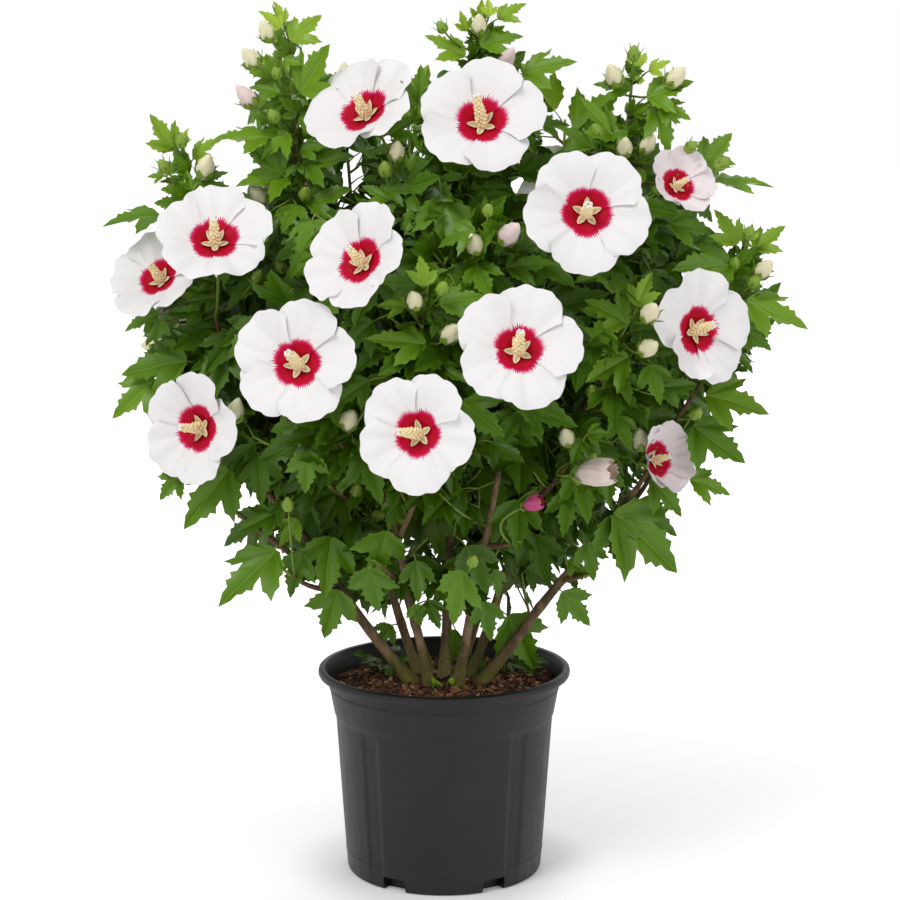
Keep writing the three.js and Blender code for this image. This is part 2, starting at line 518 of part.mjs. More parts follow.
// A leaf turns a little further each time until it finds room
function growLeaf(site) {
  for (let tries = 0; tries < leafGrowth.tries; tries++) {
    const swing = (tries % 2 ? -1 : 1) * Math.ceil(tries / 2) * leafGrowth.swing;
    const away = squareTo(site.tangent, site.turn + swing)
      .addScaledVector(site.tangent, leafGrowth.forward);
    const { direction, normal } = leafPose(site.root, away, site.young, site.key + tries);
    const length = site.length * (tries < leafGrowth.tries / 2 ? 1 : leafGrowth.shorter);
    const tip = site.root.clone().addScaledVector(direction, length);
    const free = outwardShare(tip) < 1 && !hidesBloom(site.root, direction, length);
    if (free && grow(site.owner, makeLeaf(site.root, direction, normal, length), site.carrier)) return 1;
  }
  return 0;
}

function leafLength(key, share) {
  const wild = 1 + (chance(key, 5) - 0.5) * 2 * leafShape.wild;
  const young = THREE.MathUtils.smoothstep(share, leafGrowth.smallFrom, 1);
  return leafShape.length * wild * THREE.MathUtils.lerp(1, leafGrowth.smallest, young);
}

// A straight side twig, from the axis outwards, and the places of its leaves
function growSpur(spray, axis, key, share, away) {
  const root = axis.pointAt(share);
  const wild = spurGrowth.least + spurGrowth.wild * chance(key, 7);
  const length = spurGrowth.length * (1 - spurGrowth.shorten * share) * wild;
  const outward = new THREE.Vector3(root.x, root.y, 0).normalize();
  const line = away.clone().addScaledVector(outward, spurGrowth.outward)
    .addScaledVector(up, spurGrowth.rise).normalize();
  const tip = root.clone().addScaledVector(line, length);
  if (outwardShare(tip) > crown.twigShare) return [];
  const curve = new THREE.LineCurve3(root, tip);
  const radius = (at) => THREE.MathUtils.lerp(twigLook.spurRadius, twigLook.spurTipRadius, at);
  const carrier = grow(spray.name, limb(curve, radius, 3, 1, false), axis.entry);
  if (!carrier) return [];
  const count = Math.max(2, Math.round(length / spurGrowth.spacing));
  return Array.from({ length: count }, (_, i) => {
    const leafKey = key + (i + 1) / 10;
    return {
      owner: spray.name, carrier, root: curve.getPointAt((i + spurGrowth.last) / count), tangent: line,
      turn: chance(key, 11) * Math.PI * 2 + i * golden, key: leafKey,
      length: leafLength(leafKey, share), young: 0,
    };
  });
}

// Leaves turn round the axis by the same angle each time, with a side twig at every second one
function leafSites(spray, axis, order) {
  const count = Math.max(3, Math.round(axis.length / leafGrowth.spacing));
  const sites = [];
  for (let k = 0; k < count; k++) {
    const key = order * 50 + k;
    const share = THREE.MathUtils.lerp(leafGrowth.first, leafGrowth.last, (k + 0.5) / count);
    const tangent = axis.tangentAt(share);
    const turn = chance(order, 1) * Math.PI * 2 + k * golden;
    const young = spray.tall ? THREE.MathUtils.smoothstep(share, leafGrowth.youngFrom, 1) : 0;
    sites.push({
      owner: spray.name, carrier: axis.entry, root: axis.pointAt(share), tangent, turn, key,
      length: leafLength(key, share), young,
    });
    if (k % 2 === 1) {
      sites.push(...growSpur(spray, axis, key, share, squareTo(tangent, turn).negate()));
    }
  }
  return sites;
}

// The leaves whose tips mark the outline, on straight side twigs from near the closest point of the
// axis. Each turns its face to the front or the back of the crown
function growReach(spray, axis, order) {
  (spray.reach ?? []).forEach((place, i) => {
    const tip = vec(place);
    for (let tries = 0; tries < leafGrowth.tries; tries++) {
      const further = (tries % 2 ? tries : -tries / 2) * reachGrowth.shareStep;
      const wanted = leafShape.length * (reachGrowth.share + further);
      const root = axis.pointAt(shareAt(axis, tip, wanted));
      const reach = tip.distanceTo(root);
      const direction = tip.clone().sub(root).normalize();
      const length = reach < leafShape.length ? reach : leafShape.length * reachGrowth.share;
      const foot = tip.clone().addScaledVector(direction, -length);
      const roll = (chance(order, i, tries) - 0.5) * tries * reachGrowth.roll;
      const outward = Math.sign(foot.y - reachGrowth.middleY) * reachGrowth.faceOut;
      const normal = squareOff(vec([foot.x + roll, outward, reachGrowth.faceUp]), direction);
      let whole = makeLeaf(foot, direction, normal, length);
      if (length < reach) {
        const twig = new THREE.LineCurve3(root, foot.clone().addScaledVector(direction, twigLook.sink));
        whole = whole.add(limb(twig, () => twigLook.spurRadius, 3, 1, false));
      }
      if (grow(spray.name, whole, axis.entry)) return;
    }
  });
}

// Buds crowd round the spray's tip on short stalks
function growBuds(spray, axis, order) {
  for (let k = 0; k < (spray.buds ?? 0); k++) {
    const share = budGrowth.first - budGrowth.step * k;
    const tangent = axis.tangentAt(share);
    const aside = squareTo(tangent, chance(order, 2) * Math.PI * 2 + k * golden);
    const line = tangent.clone().addScaledVector(aside, k === 0 ? 0 : budGrowth.aside).normalize();
    const stalk = k === 0 ? budGrowth.tipStalk : budGrowth.stalk;
    grow(spray.name, makeBud(axis.pointAt(share), line, stalk), axis.entry);
  }
}

const shrub = new THREE.Group();

function addNode(name, solid, material) {
  const mesh = new THREE.Mesh(geometryOf(solid), material);
  mesh.name = name;
  shrub.add(mesh);
}

function addWhole(name, solid, material) {
  stand(name, solid);
  addNode(name, solid, material);
}

addWhole('pot', makePot(), colours.plastic);
addWhole('soil', makeSoil(), colours.soil);
stems.forEach((stem) => addWhole(stem.name, makeStem(stem), colours.bark));

const axes = sprays.map((spray, order) => growAxis(spray, order));
sprays.forEach((spray, i) => (spray.blooms ?? []).forEach((flower) => growBloom(spray, axes[i], i, flower)));
sprays.forEach((spray, i) => growReach(spray, axes[i], i));
sprays.forEach((spray, i) => growBuds(spray, axes[i], i));

// Leaves fill the places in a mixed order, so that they end up even on all sides
const sites = sprays.flatMap((spray, i) => leafSites(spray, axes[i], i));
sites.sort((a, b) => chance(a.key, 13) - chance(b.key, 13));
let leaves = 0;
for (const site of sites) {
  if (leaves < leafGrowth.most) leaves += growLeaf(site);
}

// Each spray is fused into one solid, and a scrap that touches nothing is dropped
sprays.forEach((spray) => {
  const pieces = standing.filter((one) => one.owner === spray.name).map((one) => one.solid);
  const bodies = wasm.Manifold.union(pieces).decompose();
  bodies.sort((a, b) => b.volume() - a.volume());
  addNode(spray.name, bodies[0], colours.foliage);
});

export default shrub;
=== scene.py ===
import math

import bmesh
import bpy
import numpy as np
from mathutils import Matrix, Vector, noise


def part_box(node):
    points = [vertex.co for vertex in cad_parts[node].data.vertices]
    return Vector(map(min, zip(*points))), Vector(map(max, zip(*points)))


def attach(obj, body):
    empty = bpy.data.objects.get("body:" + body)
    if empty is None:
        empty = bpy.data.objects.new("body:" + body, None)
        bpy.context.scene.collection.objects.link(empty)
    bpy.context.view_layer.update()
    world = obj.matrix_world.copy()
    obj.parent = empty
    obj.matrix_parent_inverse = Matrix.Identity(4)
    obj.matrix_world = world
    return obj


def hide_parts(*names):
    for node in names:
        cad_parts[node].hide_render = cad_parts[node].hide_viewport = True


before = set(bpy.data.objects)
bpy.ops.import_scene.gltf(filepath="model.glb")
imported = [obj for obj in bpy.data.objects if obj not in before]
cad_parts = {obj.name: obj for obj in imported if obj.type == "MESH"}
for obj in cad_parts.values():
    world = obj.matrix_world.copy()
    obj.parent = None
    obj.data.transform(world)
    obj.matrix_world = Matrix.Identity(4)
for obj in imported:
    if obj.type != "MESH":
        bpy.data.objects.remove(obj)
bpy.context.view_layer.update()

# The camera that the photo was taken with, and the lens as pixels of a 900 pixel wide picture
photoCamera = {"place": (0.0052, -1.8218, 0.6533), "pitchDown": 8.578, "focalPixels": 2089.8, "frame": 900}

# Each stem: where it stands on the potting mix, where it ends, and its radius at the foot
stems = {
    "left_low": ((-0.027, -0.01), (-0.15, -0.068, 0.352), 0.0062),
    "left": ((-0.022, 0.012), (-0.104, -0.008, 0.428), 0.0052),
    "front_left": ((-0.012, -0.02), (-0.06, -0.104, 0.408), 0.0048),
    "centre": ((0, 0.002), (0.008, 0.006, 0.474), 0.0058),
    "front_right": ((0.011, -0.021), (0.048, -0.112, 0.392), 0.0056),
    "right": ((0.022, 0.008), (0.112, -0.016, 0.438), 0.0054),
    "right_low": ((0.031, -0.009), (0.166, -0.06, 0.356), 0.0064),
    "back_left": ((-0.014, 0.03), (-0.084, 0.112, 0.402), 0.0054),
    "back_right": ((0.014, 0.028), (0.086, 0.116, 0.41), 0.0052),
    "back": ((0, 0.044), (0.004, 0.14, 0.356), 0.0048),
}

# Each spray: the stem and the share of its length that it grows from, and its tip
sprays = {
    "left_tall": ("left", 1, (-0.132, -0.022, 0.748)),
    "left_high": ("left_low", 1, (-0.222, -0.032, 0.65)),
    "top_left": ("front_left", 1, (-0.038, -0.064, 0.7)),
    "top": ("centre", 1, (0.033, -0.036, 0.752)),
    "right_tall": ("right", 1, (0.158, -0.052, 0.712)),
    "right_high": ("right_low", 1, (0.256, -0.04, 0.566)),
    "right_low": ("right_low", 0.82, (0.196, -0.05, 0.392)),
    "front_centre": ("front_left", 0.84, (-0.012, -0.184, 0.54)),
    "front_high": ("centre", 0.8, (0.034, -0.15, 0.59)),
    "front_right": ("right", 0.8, (0.158, -0.138, 0.522)),
    "middle": ("front_right", 1, (0.05, -0.176, 0.47)),
    "middle_left": ("front_left", 0.74, (-0.098, -0.15, 0.456)),
    "middle_low": ("front_left", 0.58, (-0.02, -0.186, 0.41)),
    "left_upper": ("left_low", 0.86, (-0.226, -0.034, 0.52)),
    "left_low": ("left_low", 0.56, (-0.214, -0.088, 0.384)),
    "skirt_left": ("left_low", 0.5, (-0.14, -0.084, 0.292)),
    "skirt_right": ("right_low", 0.54, (0.15, -0.096, 0.3)),
    "skirt_front_left": ("front_left", 0.42, (-0.062, -0.14, 0.312)),
    "skirt_front": ("front_right", 0.4, (0.006, -0.15, 0.3)),
    "skirt_front_right": ("front_right", 0.62, (0.098, -0.14, 0.34)),
    "inner_left": ("left", 0.62, (-0.104, -0.092, 0.372)),
    "inner_centre": ("centre", 0.5, (0.014, -0.118, 0.392)),
    "inner_right": ("right", 0.6, (0.118, -0.104, 0.41)),
    "side_left": ("left", 0.8, (-0.248, 0.062, 0.47)),
    "side_right": ("right", 0.82, (0.256, 0.06, 0.486)),
    "back_left_tall": ("back_left", 1, (-0.092, 0.128, 0.7)),
    "back_right_tall": ("back_right", 1, (0.112, 0.118, 0.706)),
    "middle_tall": ("centre", 0.72, (-0.034, 0.066, 0.692)),
    "back_high": ("centre", 0.86, (0, 0.176, 0.64)),
    "back_left": ("back_left", 0.8, (-0.196, 0.132, 0.56)),
    "back_right": ("back_right", 0.8, (0.206, 0.128, 0.566)),
    "back_left_low": ("back_left", 0.6, (-0.17, 0.146, 0.392)),
    "back_right_low": ("back_right", 0.6, (0.172, 0.15, 0.396)),
    "back_middle": ("back", 1, (0.014, 0.226, 0.462)),
    "skirt_back_left": ("back_left", 0.44, (-0.112, 0.118, 0.3)),
    "skirt_back_right": ("back_right", 0.44, (0.112, 0.126, 0.302)),
    "skirt_back": ("back", 0.6, (0.006, 0.19, 0.316)),
    "skirt_side_left": ("left", 0.5, (-0.146, 0.04, 0.322)),
    "skirt_side_right": ("right", 0.52, (0.152, 0.046, 0.33)),
}
tallSprays = (
    "left_tall", "left_high", "top", "right_tall",
    "right_high", "back_left_tall", "back_right_tall", "middle_tall",
)

# The open blooms, one to a spray: x, y, z, turn, lift, radius, openness
openBlooms = {
    "left_high": (-0.186, -0.112, 0.564, 2, 40, 0.051, 0.72),
    "top_left": (-0.062, -0.066, 0.6675, -32, 38, 0.0525, 0.72),
    "top": (0.0315, -0.092, 0.66, -4, 29, 0.0535, 0.8),
    "right_tall": (0.192, -0.07, 0.6095, 26, 28, 0.034, 0.46),
    "right_high": (0.2035, -0.112, 0.4945, 30, 8, 0.05, 0.85),
    "right_low": (0.177, -0.066, 0.3795, 46, 14, 0.0355, 0.4),
    "front_centre": (-0.0605, -0.19, 0.5525, -34, 26, 0.048, 0.72),
    "front_high": (0.1135, -0.15, 0.591, 0, 13, 0.0525, 0.82),
    "middle": (0.058, -0.214, 0.4865, 0, 24, 0.05, 0.88),
    "middle_left": (-0.1125, -0.19, 0.4735, -9, 20, 0.051, 0.85),
    "middle_low": (-0.0175, -0.225, 0.4245, -16, 12, 0.048, 0.85),
    "left_upper": (-0.236, -0.062, 0.5305, -28, 36, 0.0455, 0.78),
    "left_low": (-0.198, -0.112, 0.414, -32, 4, 0.0495, 0.7),
    "side_left": (-0.236, 0.09, 0.5, -112, 12, 0.046, 1),
    "side_right": (0.248, 0.1, 0.5, 112, 12, 0.047, 1),
    "back_left_tall": (-0.14, 0.168, 0.592, 206, 18, 0.049, 1),
    "back_right_tall": (0.115, 0.176, 0.594, 168, 16, 0.05, 1),
    "back_high": (-0.012, 0.226, 0.56, 184, 8, 0.05, 1),
    "back_left": (-0.176, 0.19, 0.5, 222, 8, 0.048, 1),
    "back_right": (0.18, 0.19, 0.51, 140, 10, 0.049, 1),
    "back_left_low": (-0.096, 0.228, 0.416, 196, 4, 0.048, 1),
    "back_right_low": (0.196, 0.16, 0.386, 128, 6, 0.047, 1),
    "back_middle": (0.062, 0.236, 0.45, 164, 8, 0.05, 1),
}

# Leaf tips that mark the crown's outline at the sides and the back
outlineTips = {
    "side_left": ((-0.29, 0.04, 0.44), (-0.276, 0.12, 0.47)),
    "side_right": ((0.304, 0.05, 0.52), (0.286, 0.09, 0.452), (0.286, 0.03, 0.56)),
    "back_left_tall": ((-0.14, 0.12, 0.69), (-0.05, 0.13, 0.7)),
    "back_right_tall": ((0.16, 0.11, 0.694), (0.07, 0.12, 0.72)),
    "middle_tall": ((-0.02, 0.07, 0.716), (0.02, 0.06, 0.7)),
    "back_high": ((-0.05, 0.18, 0.62), (0.05, 0.19, 0.64)),
    "back_left": ((-0.25, 0.13, 0.56), (-0.22, 0.17, 0.6)),
    "back_right": ((0.262, 0.12, 0.56), (0.24, 0.16, 0.6)),
    "back_left_low": ((-0.244, 0.12, 0.4), (-0.22, 0.16, 0.35)),
    "back_right_low": ((0.252, 0.12, 0.396), (0.216, 0.17, 0.34)),
    "back_middle": ((-0.02, 0.262, 0.47), (0.03, 0.266, 0.4)),
    "skirt_back_left": ((-0.17, 0.11, 0.264), (-0.12, 0.16, 0.25), (-0.06, 0.15, 0.246)),
    "skirt_back_right": ((0.176, 0.11, 0.268), (0.126, 0.17, 0.252), (0.07, 0.15, 0.24)),
    "skirt_back": ((0.01, 0.23, 0.262), (-0.05, 0.21, 0.272), (0.06, 0.216, 0.274)),
    "skirt_side_left": ((-0.206, 0.04, 0.29), (-0.18, 0.08, 0.262)),
    "skirt_side_right": ((0.216, 0.04, 0.3), (0.184, 0.086, 0.27)),
}

# Buds as the photo shows them: pixel across, pixel down and kind
budsSeen = {
    "left_tall": ((266, 30, "cream"), (250, 57, "cream"), (276, 72, "green"), (273, 115, "green"),
        (245, 95, "pink"), (305, 193, "green"), (258, 194, "cream"), (280, 266, "green")),
    "left_high": ((163, 165, "green"), (181, 140, "green"), (206, 165, "cream")),
    "top_left": ((397, 150, "cream"), (385, 168, "green")),
    "top": ((479, 23, "cream"), (508, 57, "pink"), (441, 26, "green")),
    "right_tall": ((613, 74, "cream"), (634, 52, "green"), (677, 76, "cream"), (625, 146, "cream"),
        (649, 143, "cream"), (596, 130, "green"), (692, 146, "green"), (723, 163, "green"),
        (661, 188, "green")),
    "right_high": ((749, 232, "green"), (765, 268, "cream"), (755, 281, "green"), (735, 262, "green"),
        (697, 412, "green")),
    "front_high": ((474, 242, "cream"), (488, 209, "green"), (511, 232, "pink")),
    "front_centre": ((414, 299, "cream"), (443, 287, "green"), (452, 332, "cream")),
    "front_right": ((651, 311, "cream"), (650, 347, "cream"), (592, 390, "green")),
    "inner_right": ((566, 436, "cream"), (566, 479, "green"), (592, 457, "green")),
    "right_low": ((640, 438, "cream"),),
    "skirt_left": ((288, 503, "green"),),
    "middle_left": ((350, 418, "cream"),),
    "left_low": ((236, 409, "cream"),),
    "inner_left": ((357, 488, "green"), (380, 515, "green"), (402, 519, "green")),
    "skirt_front": ((473, 560, "green"),),
    "left_upper": ((258, 275, "green"),),
}

# Leaves as the photo shows them: pixel across and down of the foot, then of the tip, and the green
leavesSeen = {
    "left_tall": ((281, 28, 263, 8, 5), (284, 23, 276, 0, 5), (291, 41, 322, 13, 4),
        (300, 92, 331, 48, 3), (309, 88, 337, 69, 2), (279, 92, 249, 84, 2), (284, 100, 258, 108, 2),
        (268, 137, 216, 131, 3, 0.3), (289, 133, 258, 156, 3), (291, 176, 234, 180, 3, 0.3),
        (299, 118, 318, 127, 2), (302, 163, 352, 158, 2), (306, 204, 352, 190, 2),
        (286, 276, 317, 281, 2), (300, 150, 330, 140, 2), (283, 60, 302, 66, 3)),
    "left_high": ((174, 150, 151, 116, 4), (193, 158, 216, 133, 4), (164, 176, 147, 175, 3),
        (197, 184, 225, 166, 2), (160, 216, 106, 210, 2, 0.6), (180, 146, 186, 127, 5),
        (192, 190, 186, 168, 3)),
    "top_left": ((419, 104, 424, 65, 2), (390, 136, 414, 110, 2), (390, 200, 362, 182, 2),
        (384, 190, 420, 188, 1), (376, 230, 400, 214, 2)),
    "top": ((465, 56, 427, 31, 4), (467, 31, 460, 12, 5), (481, 46, 522, 27, 3),
        (498, 19, 526, 1, 4), (490, 16, 489, -3, 5), (522, 74, 572, 54, 3), (540, 125, 571, 121, 2),
        (519, 173, 560, 156, 2), (504, 217, 530, 189, 2), (437, 76, 457, 78, 1), (476, 200, 440, 186, 1),
        (470, 190, 505, 180, 2)),
    "right_tall": ((593, 148, 561, 123, 2), (588, 152, 552, 148, 3), (614, 138, 587, 96, 3),
        (631, 89, 593, 80, 2), (649, 71, 670, 60, 5), (641, 66, 634, 44, 5), (647, 97, 694, 83, 3),
        (655, 102, 679, 153, 3), (660, 105, 690, 118, 3), (703, 163, 735, 134, 3),
        (716, 182, 772, 172, 3, 0.6), (667, 224, 718, 224, 2), (628, 130, 600, 140, 2),
        (646, 180, 632, 168, 3)),
    "right_high": ((736, 245, 721, 209, 4), (754, 250, 785, 224, 4), (746, 301, 810, 319, 3),
        (746, 329, 771, 352, 2), (733, 265, 672, 262, 2), (750, 240, 753, 224, 5),
        (741, 284, 712, 280, 2)),
    "front_right": ((628, 324, 588, 296, 3), (637, 306, 648, 270, 4), (629, 357, 583, 377, 3),
        (650, 365, 662, 402, 2), (617, 416, 631, 450, 2)),
    "front_high": ((506, 268, 552, 255, 2), (475, 230, 434, 240, 2), (478, 262, 440, 276, 1)),
    "front_centre": ((424, 286, 423, 255, 4), (406, 306, 376, 301, 3), (426, 344, 368, 334, 3),
        (440, 304, 486, 290, 2), (436, 366, 470, 378, 2)),
    "middle": ((481, 381, 474, 418, 1), (562, 374, 578, 416, 2), (493, 423, 479, 450, 1)),
    "middle_left": ((364, 446, 337, 464, 2), (307, 450, 307, 496, 2)),
    "middle_low": ((479, 459, 500, 519, 1),),
    "left_upper": ((187, 361, 120, 367, 2), (159, 314, 122, 324, 2), (155, 379, 110, 416, 3),
        (195, 328, 235, 322, 1), (162, 320, 154, 345, 2)),
    "left_low": ((180, 475, 157, 498, 2), (229, 469, 185, 524, 2), (258, 452, 263, 505, 1),
        (277, 512, 237, 530, 2), (297, 519, 278, 547, 3)),
    "right_low": ((706, 395, 768, 404, 3), (693, 425, 743, 466, 2), (690, 480, 734, 487, 3),
        (651, 480, 687, 512, 2), (631, 459, 612, 455, 3)),
    "skirt_left": ((277, 550, 217, 599, 2), (302, 553, 285, 595, 1), (332, 537, 320, 596, 2),
        (343, 489, 309, 535, 2)),
    "skirt_right": ((614, 513, 689, 567, 2), (610, 516, 630, 568, 2), (587, 542, 596, 582, 2)),
    "skirt_front_left": ((339, 590, 322, 640, 2), (387, 531, 371, 583, 2), (369, 567, 373, 613, 1),
        (415, 604, 422, 629, 2), (392, 625, 374, 647, 2), (428, 600, 438, 630, 1)),
    "skirt_front": ((463, 571, 448, 628, 2), (495, 570, 502, 599, 1), (456, 630, 449, 661, 2),
        (484, 602, 492, 640, 1)),
    "skirt_front_right": ((509, 615, 539, 670, 2), (562, 592, 593, 626, 2), (568, 560, 587, 575, 2)),
    "inner_left": ((431, 515, 450, 567, 2), (398, 500, 385, 530, 1)),
    "inner_centre": ((511, 521, 481, 558, 2), (532, 535, 546, 586, 1), (559, 482, 520, 500, 3),
        (541, 432, 556, 478, 1)),
    "inner_right": ((568, 491, 567, 534, 2), (582, 439, 569, 464, 2)),
}

# The crown's outline from the front: height, reach to the left and reach to the right
crown = {
    "outline": [
        (0.200, 0.080, 0.085), (0.250, 0.125, 0.125), (0.300, 0.170, 0.175), (0.335, 0.195, 0.200),
        (0.370, 0.232, 0.232), (0.418, 0.280, 0.275), (0.495, 0.292, 0.312), (0.584, 0.294, 0.300),
        (0.640, 0.262, 0.255), (0.672, 0.240, 0.218), (0.700, 0.190, 0.205), (0.738, 0.165, 0.180),
        (0.790, 0.150, 0.100)],
    "depthShare": 0.86,
    "twigShare": 0.88,
}

# The crown's edge as the photo shows it, round from the pot's left: pixel across and pixel down
crownSeen = (
    (376, 652), (366, 622), (350, 616), (342, 633), (322, 642), (306, 616), (316, 600), (302, 584),
    (286, 598), (276, 578), (272, 556), (266, 582), (250, 595), (215, 602), (221, 562), (236, 532),
    (252, 510), (236, 492), (222, 502), (184, 527), (186, 500), (156, 501), (160, 478), (143, 416),
    (107, 420), (122, 388), (117, 370), (142, 338), (122, 312), (106, 300), (102, 270), (122, 232),
    (103, 222), (130, 199), (170, 198), (145, 176), (154, 156), (164, 146), (149, 113), (172, 124),
    (186, 127), (196, 150), (214, 133), (230, 126), (228, 110), (232, 80), (242, 48), (260, 42), (262, 6),
    (275, -6), (290, 6), (325, 11), (323, 28), (300, 44), (333, 48), (337, 62), (398, 58), (421, 63),
    (429, 78), (447, 60), (425, 48), (423, 30), (452, 23), (460, 9), (484, -6), (530, -8), (525, 28),
    (506, 43), (576, 49), (565, 68), (545, 82), (572, 120), (588, 94), (594, 77), (606, 62), (634, 40),
    (652, 47), (673, 58), (697, 83), (678, 99), (693, 118), (704, 134), (739, 130), (738, 152), (775, 182),
    (748, 189), (724, 188), (718, 206), (740, 230), (750, 221), (789, 222), (776, 248), (784, 290),
    (813, 319), (796, 331), (772, 333), (772, 358), (746, 374), (771, 405), (756, 421), (730, 427),
    (747, 469), (720, 456), (738, 488), (718, 499), (706, 480), (690, 515), (650, 500), (678, 530),
    (691, 571), (632, 571), (612, 548), (598, 586), (576, 588), (595, 631), (570, 625), (556, 602),
    (544, 606), (554, 643), (540, 672), (524, 652), (500, 640), (466, 664), (430, 664), (402, 642),
)

# Sky that shows inside that edge: pixel across, pixel down and radius
skySeen = (
    (222, 105, 12), (240, 163, 10), (303, 143, 6), (352, 170, 8), (352, 202, 7), (556, 135, 7), (534, 183, 5),
    (566, 92, 9), (560, 112, 9), (577, 108, 9), (580, 98, 12), (597, 90, 8), (668, 135, 6), (702, 118, 7),
    (745, 200, 11), (725, 195, 6), (712, 238, 6), (624, 324, 3), (237, 497, 7), (276, 468, 5), (268, 541, 8),
    (276, 575, 7), (310, 590, 8), (355, 625, 12), (392, 620, 4), (665, 406, 4), (702, 417, 6), (645, 498, 9),
    (655, 507, 9), (598, 541, 6), (611, 552, 6), (549, 600, 7), (548, 622, 9), (516, 594, 3), (246, 100, 7),
    (318, 36, 8), (205, 186, 6), (640, 92, 7), (300, 20, 10), (500, 20, 4), (415, 85, 5), (300, 505, 4),
    (330, 490, 4), (468, 628, 5), (497, 622, 5),
)

pi = math.pi
golden = math.radians(137.5)
upward = np.array((0.0, 0.0, 1.0))
plantBody = "root"
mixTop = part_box("soil")[1].z
print("frame loaded:", len(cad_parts), "nodes")


# Numbers, directions and curves

noiseSeed = 7
noise.seed_set(noiseSeed)  # without it the noise starts from the clock


def chance(*keys):
    mixed = 0.137 + sum(key * (12.9898 + 7.233 * i) for i, key in enumerate(keys))
    value = math.sin(mixed) * 43758.5453
    return value - math.floor(value)


def spreadOf(low, high, *keys):
    return low + (high - low) * chance(*keys)


def mixOf(a, b, share):
    return a + (b - a) * share


def easeBetween(value, low, high):
    share = min(max((value - low) / (high - low), 0), 1)
    return share * share * (3 - 2 * share)


def easeIn(values, low, high):
    shares = np.clip((values - low) / (high - low), 0, 1)
    return shares * shares * (3 - 2 * shares)


def unit(vector):
    vector = np.asarray(vector, float)
    return vector / max(np.linalg.norm(vector), 1e-9)


def squareOff(vector, direction):
    return unit(vector - direction * (vector @ direction))


# Directions square to a twig, turned by an angle about it
def squareTo(tangent, angle):
    level = np.array((1.0, 0.0, 0.0)) if abs(tangent[2]) > 0.95 else upward
    first = unit(np.cross(tangent, level))
    second = np.cross(tangent, first)
    return first * math.cos(angle) + second * math.sin(angle)


# Turn 0 faces the viewer, and lift is the angle upwards
def facing(turn, lift):
    a, e = math.radians(turn), math.radians(lift)
    return np.array((math.sin(a) * math.cos(e), -math.cos(a) * math.cos(e), math.sin(e)))


def throughPoints(points):
    points = np.asarray(points, float)
    steps = np.linalg.norm(np.diff(points, axis=0), axis=1)
    along = np.concatenate(((0.0,), np.cumsum(steps)))
    return {"points": points, "along": along / along[-1], "length": along[-1]}


def quadratic(start, bend, tip, steps=40):
    t = np.linspace(0, 1, steps + 1)[:, None]
    return throughPoints((1 - t) ** 2 * start + 2 * t * (1 - t) * bend + t * t * tip)


def pointAt(line, share):
    return np.array([np.interp(share, line["along"], line["points"][:, i]) for i in range(3)]).T


def tangentAt(line, share):
    reach = 0.02
    return unit(pointAt(line, min(share + reach, 1)) - pointAt(line, max(share - reach, 0)))


# A curve with one bend, at a share of the way out and a share of the way up
def bentLine(start, tip, bendOut, bendUp):
    bend = mixOf(start, tip, bendOut)
    bend[2] = mixOf(start[2], tip[2], bendUp)
    return quadratic(start, bend, tip)


def firstPart(line, share, steps=8):
    return throughPoints(pointAt(line, np.linspace(0, share, steps + 1)))


eye = np.array(photoCamera["place"])
pitch = math.radians(photoCamera["pitchDown"])
frameMiddle, focalPixels = photoCamera["frame"] / 2, photoCamera["focalPixels"]


# The place that a pixel of the photo shows, at a given distance behind the pot's middle
def placeFromPhoto(across, down, y):
    aside, above = (across - frameMiddle) / focalPixels, (frameMiddle - down) / focalPixels
    deep = math.cos(pitch) + above * math.sin(pitch)
    high = above * math.cos(pitch) - math.sin(pitch)
    return eye + np.array((aside, deep, high)) * (y - eye[1]) / deep


def pixelOf(place):
    offset = place - eye
    deep = offset[..., 1] * math.cos(pitch) - offset[..., 2] * math.sin(pitch)
    high = offset[..., 1] * math.sin(pitch) + offset[..., 2] * math.cos(pitch)
    across = frameMiddle + focalPixels * offset[..., 0] / deep
    return np.stack((across, frameMiddle - focalPixels * high / deep), axis=-1)


# Materials

def tint(code):
    parts = [int(code[i:i + 2], 16) / 255 for i in (0, 2, 4)]
    return tuple(((p + 0.055) / 1.055) ** 2.4 if p > 0.04045 else p / 12.92 for p in parts) + (1.0,)


def newMaterial(name, **sockets):
    material = bpy.data.materials.new(name)
    material.use_nodes = True
    for socket, value in sockets.items():
        inputsOf(material)[socket.replace("_", " ")].default_value = value
    return material


def inputsOf(material):
    return material.node_tree.nodes["Principled BSDF"].inputs


def plainMaterial(name, code, roughness=0.5, **sockets):
    return newMaterial(name, Base_Color=tint(code), Roughness=roughness, **sockets)


# A node with a value for each setting and socket, or the output that the socket takes
def addNode(tree, kind, **values):
    node = tree.nodes.new(kind)
    for name, value in values.items():
        socket = node.inputs.get(name.replace("_", " "))
        if socket is None:
            setattr(node, name, value)
        elif isinstance(value, bpy.types.NodeSocket):
            tree.links.new(value, socket)
        else:
            socket.default_value = value
    return node


def placeOn(tree):
    return addNode(tree, "ShaderNodeTexCoord").outputs["Object"]


# A noise pattern on the surface, stretched by a scale on each axis
def noiseOn(tree, size, stretch, detail, roughness):
    mapping = addNode(tree, "ShaderNodeMapping", Scale=stretch, Vector=placeOn(tree))
    look = {"Scale": size, "Detail": detail, "Roughness": roughness, "Vector": mapping.outputs["Vector"]}
    return addNode(tree, "ShaderNodeTexNoise", **look).outputs["Fac"]


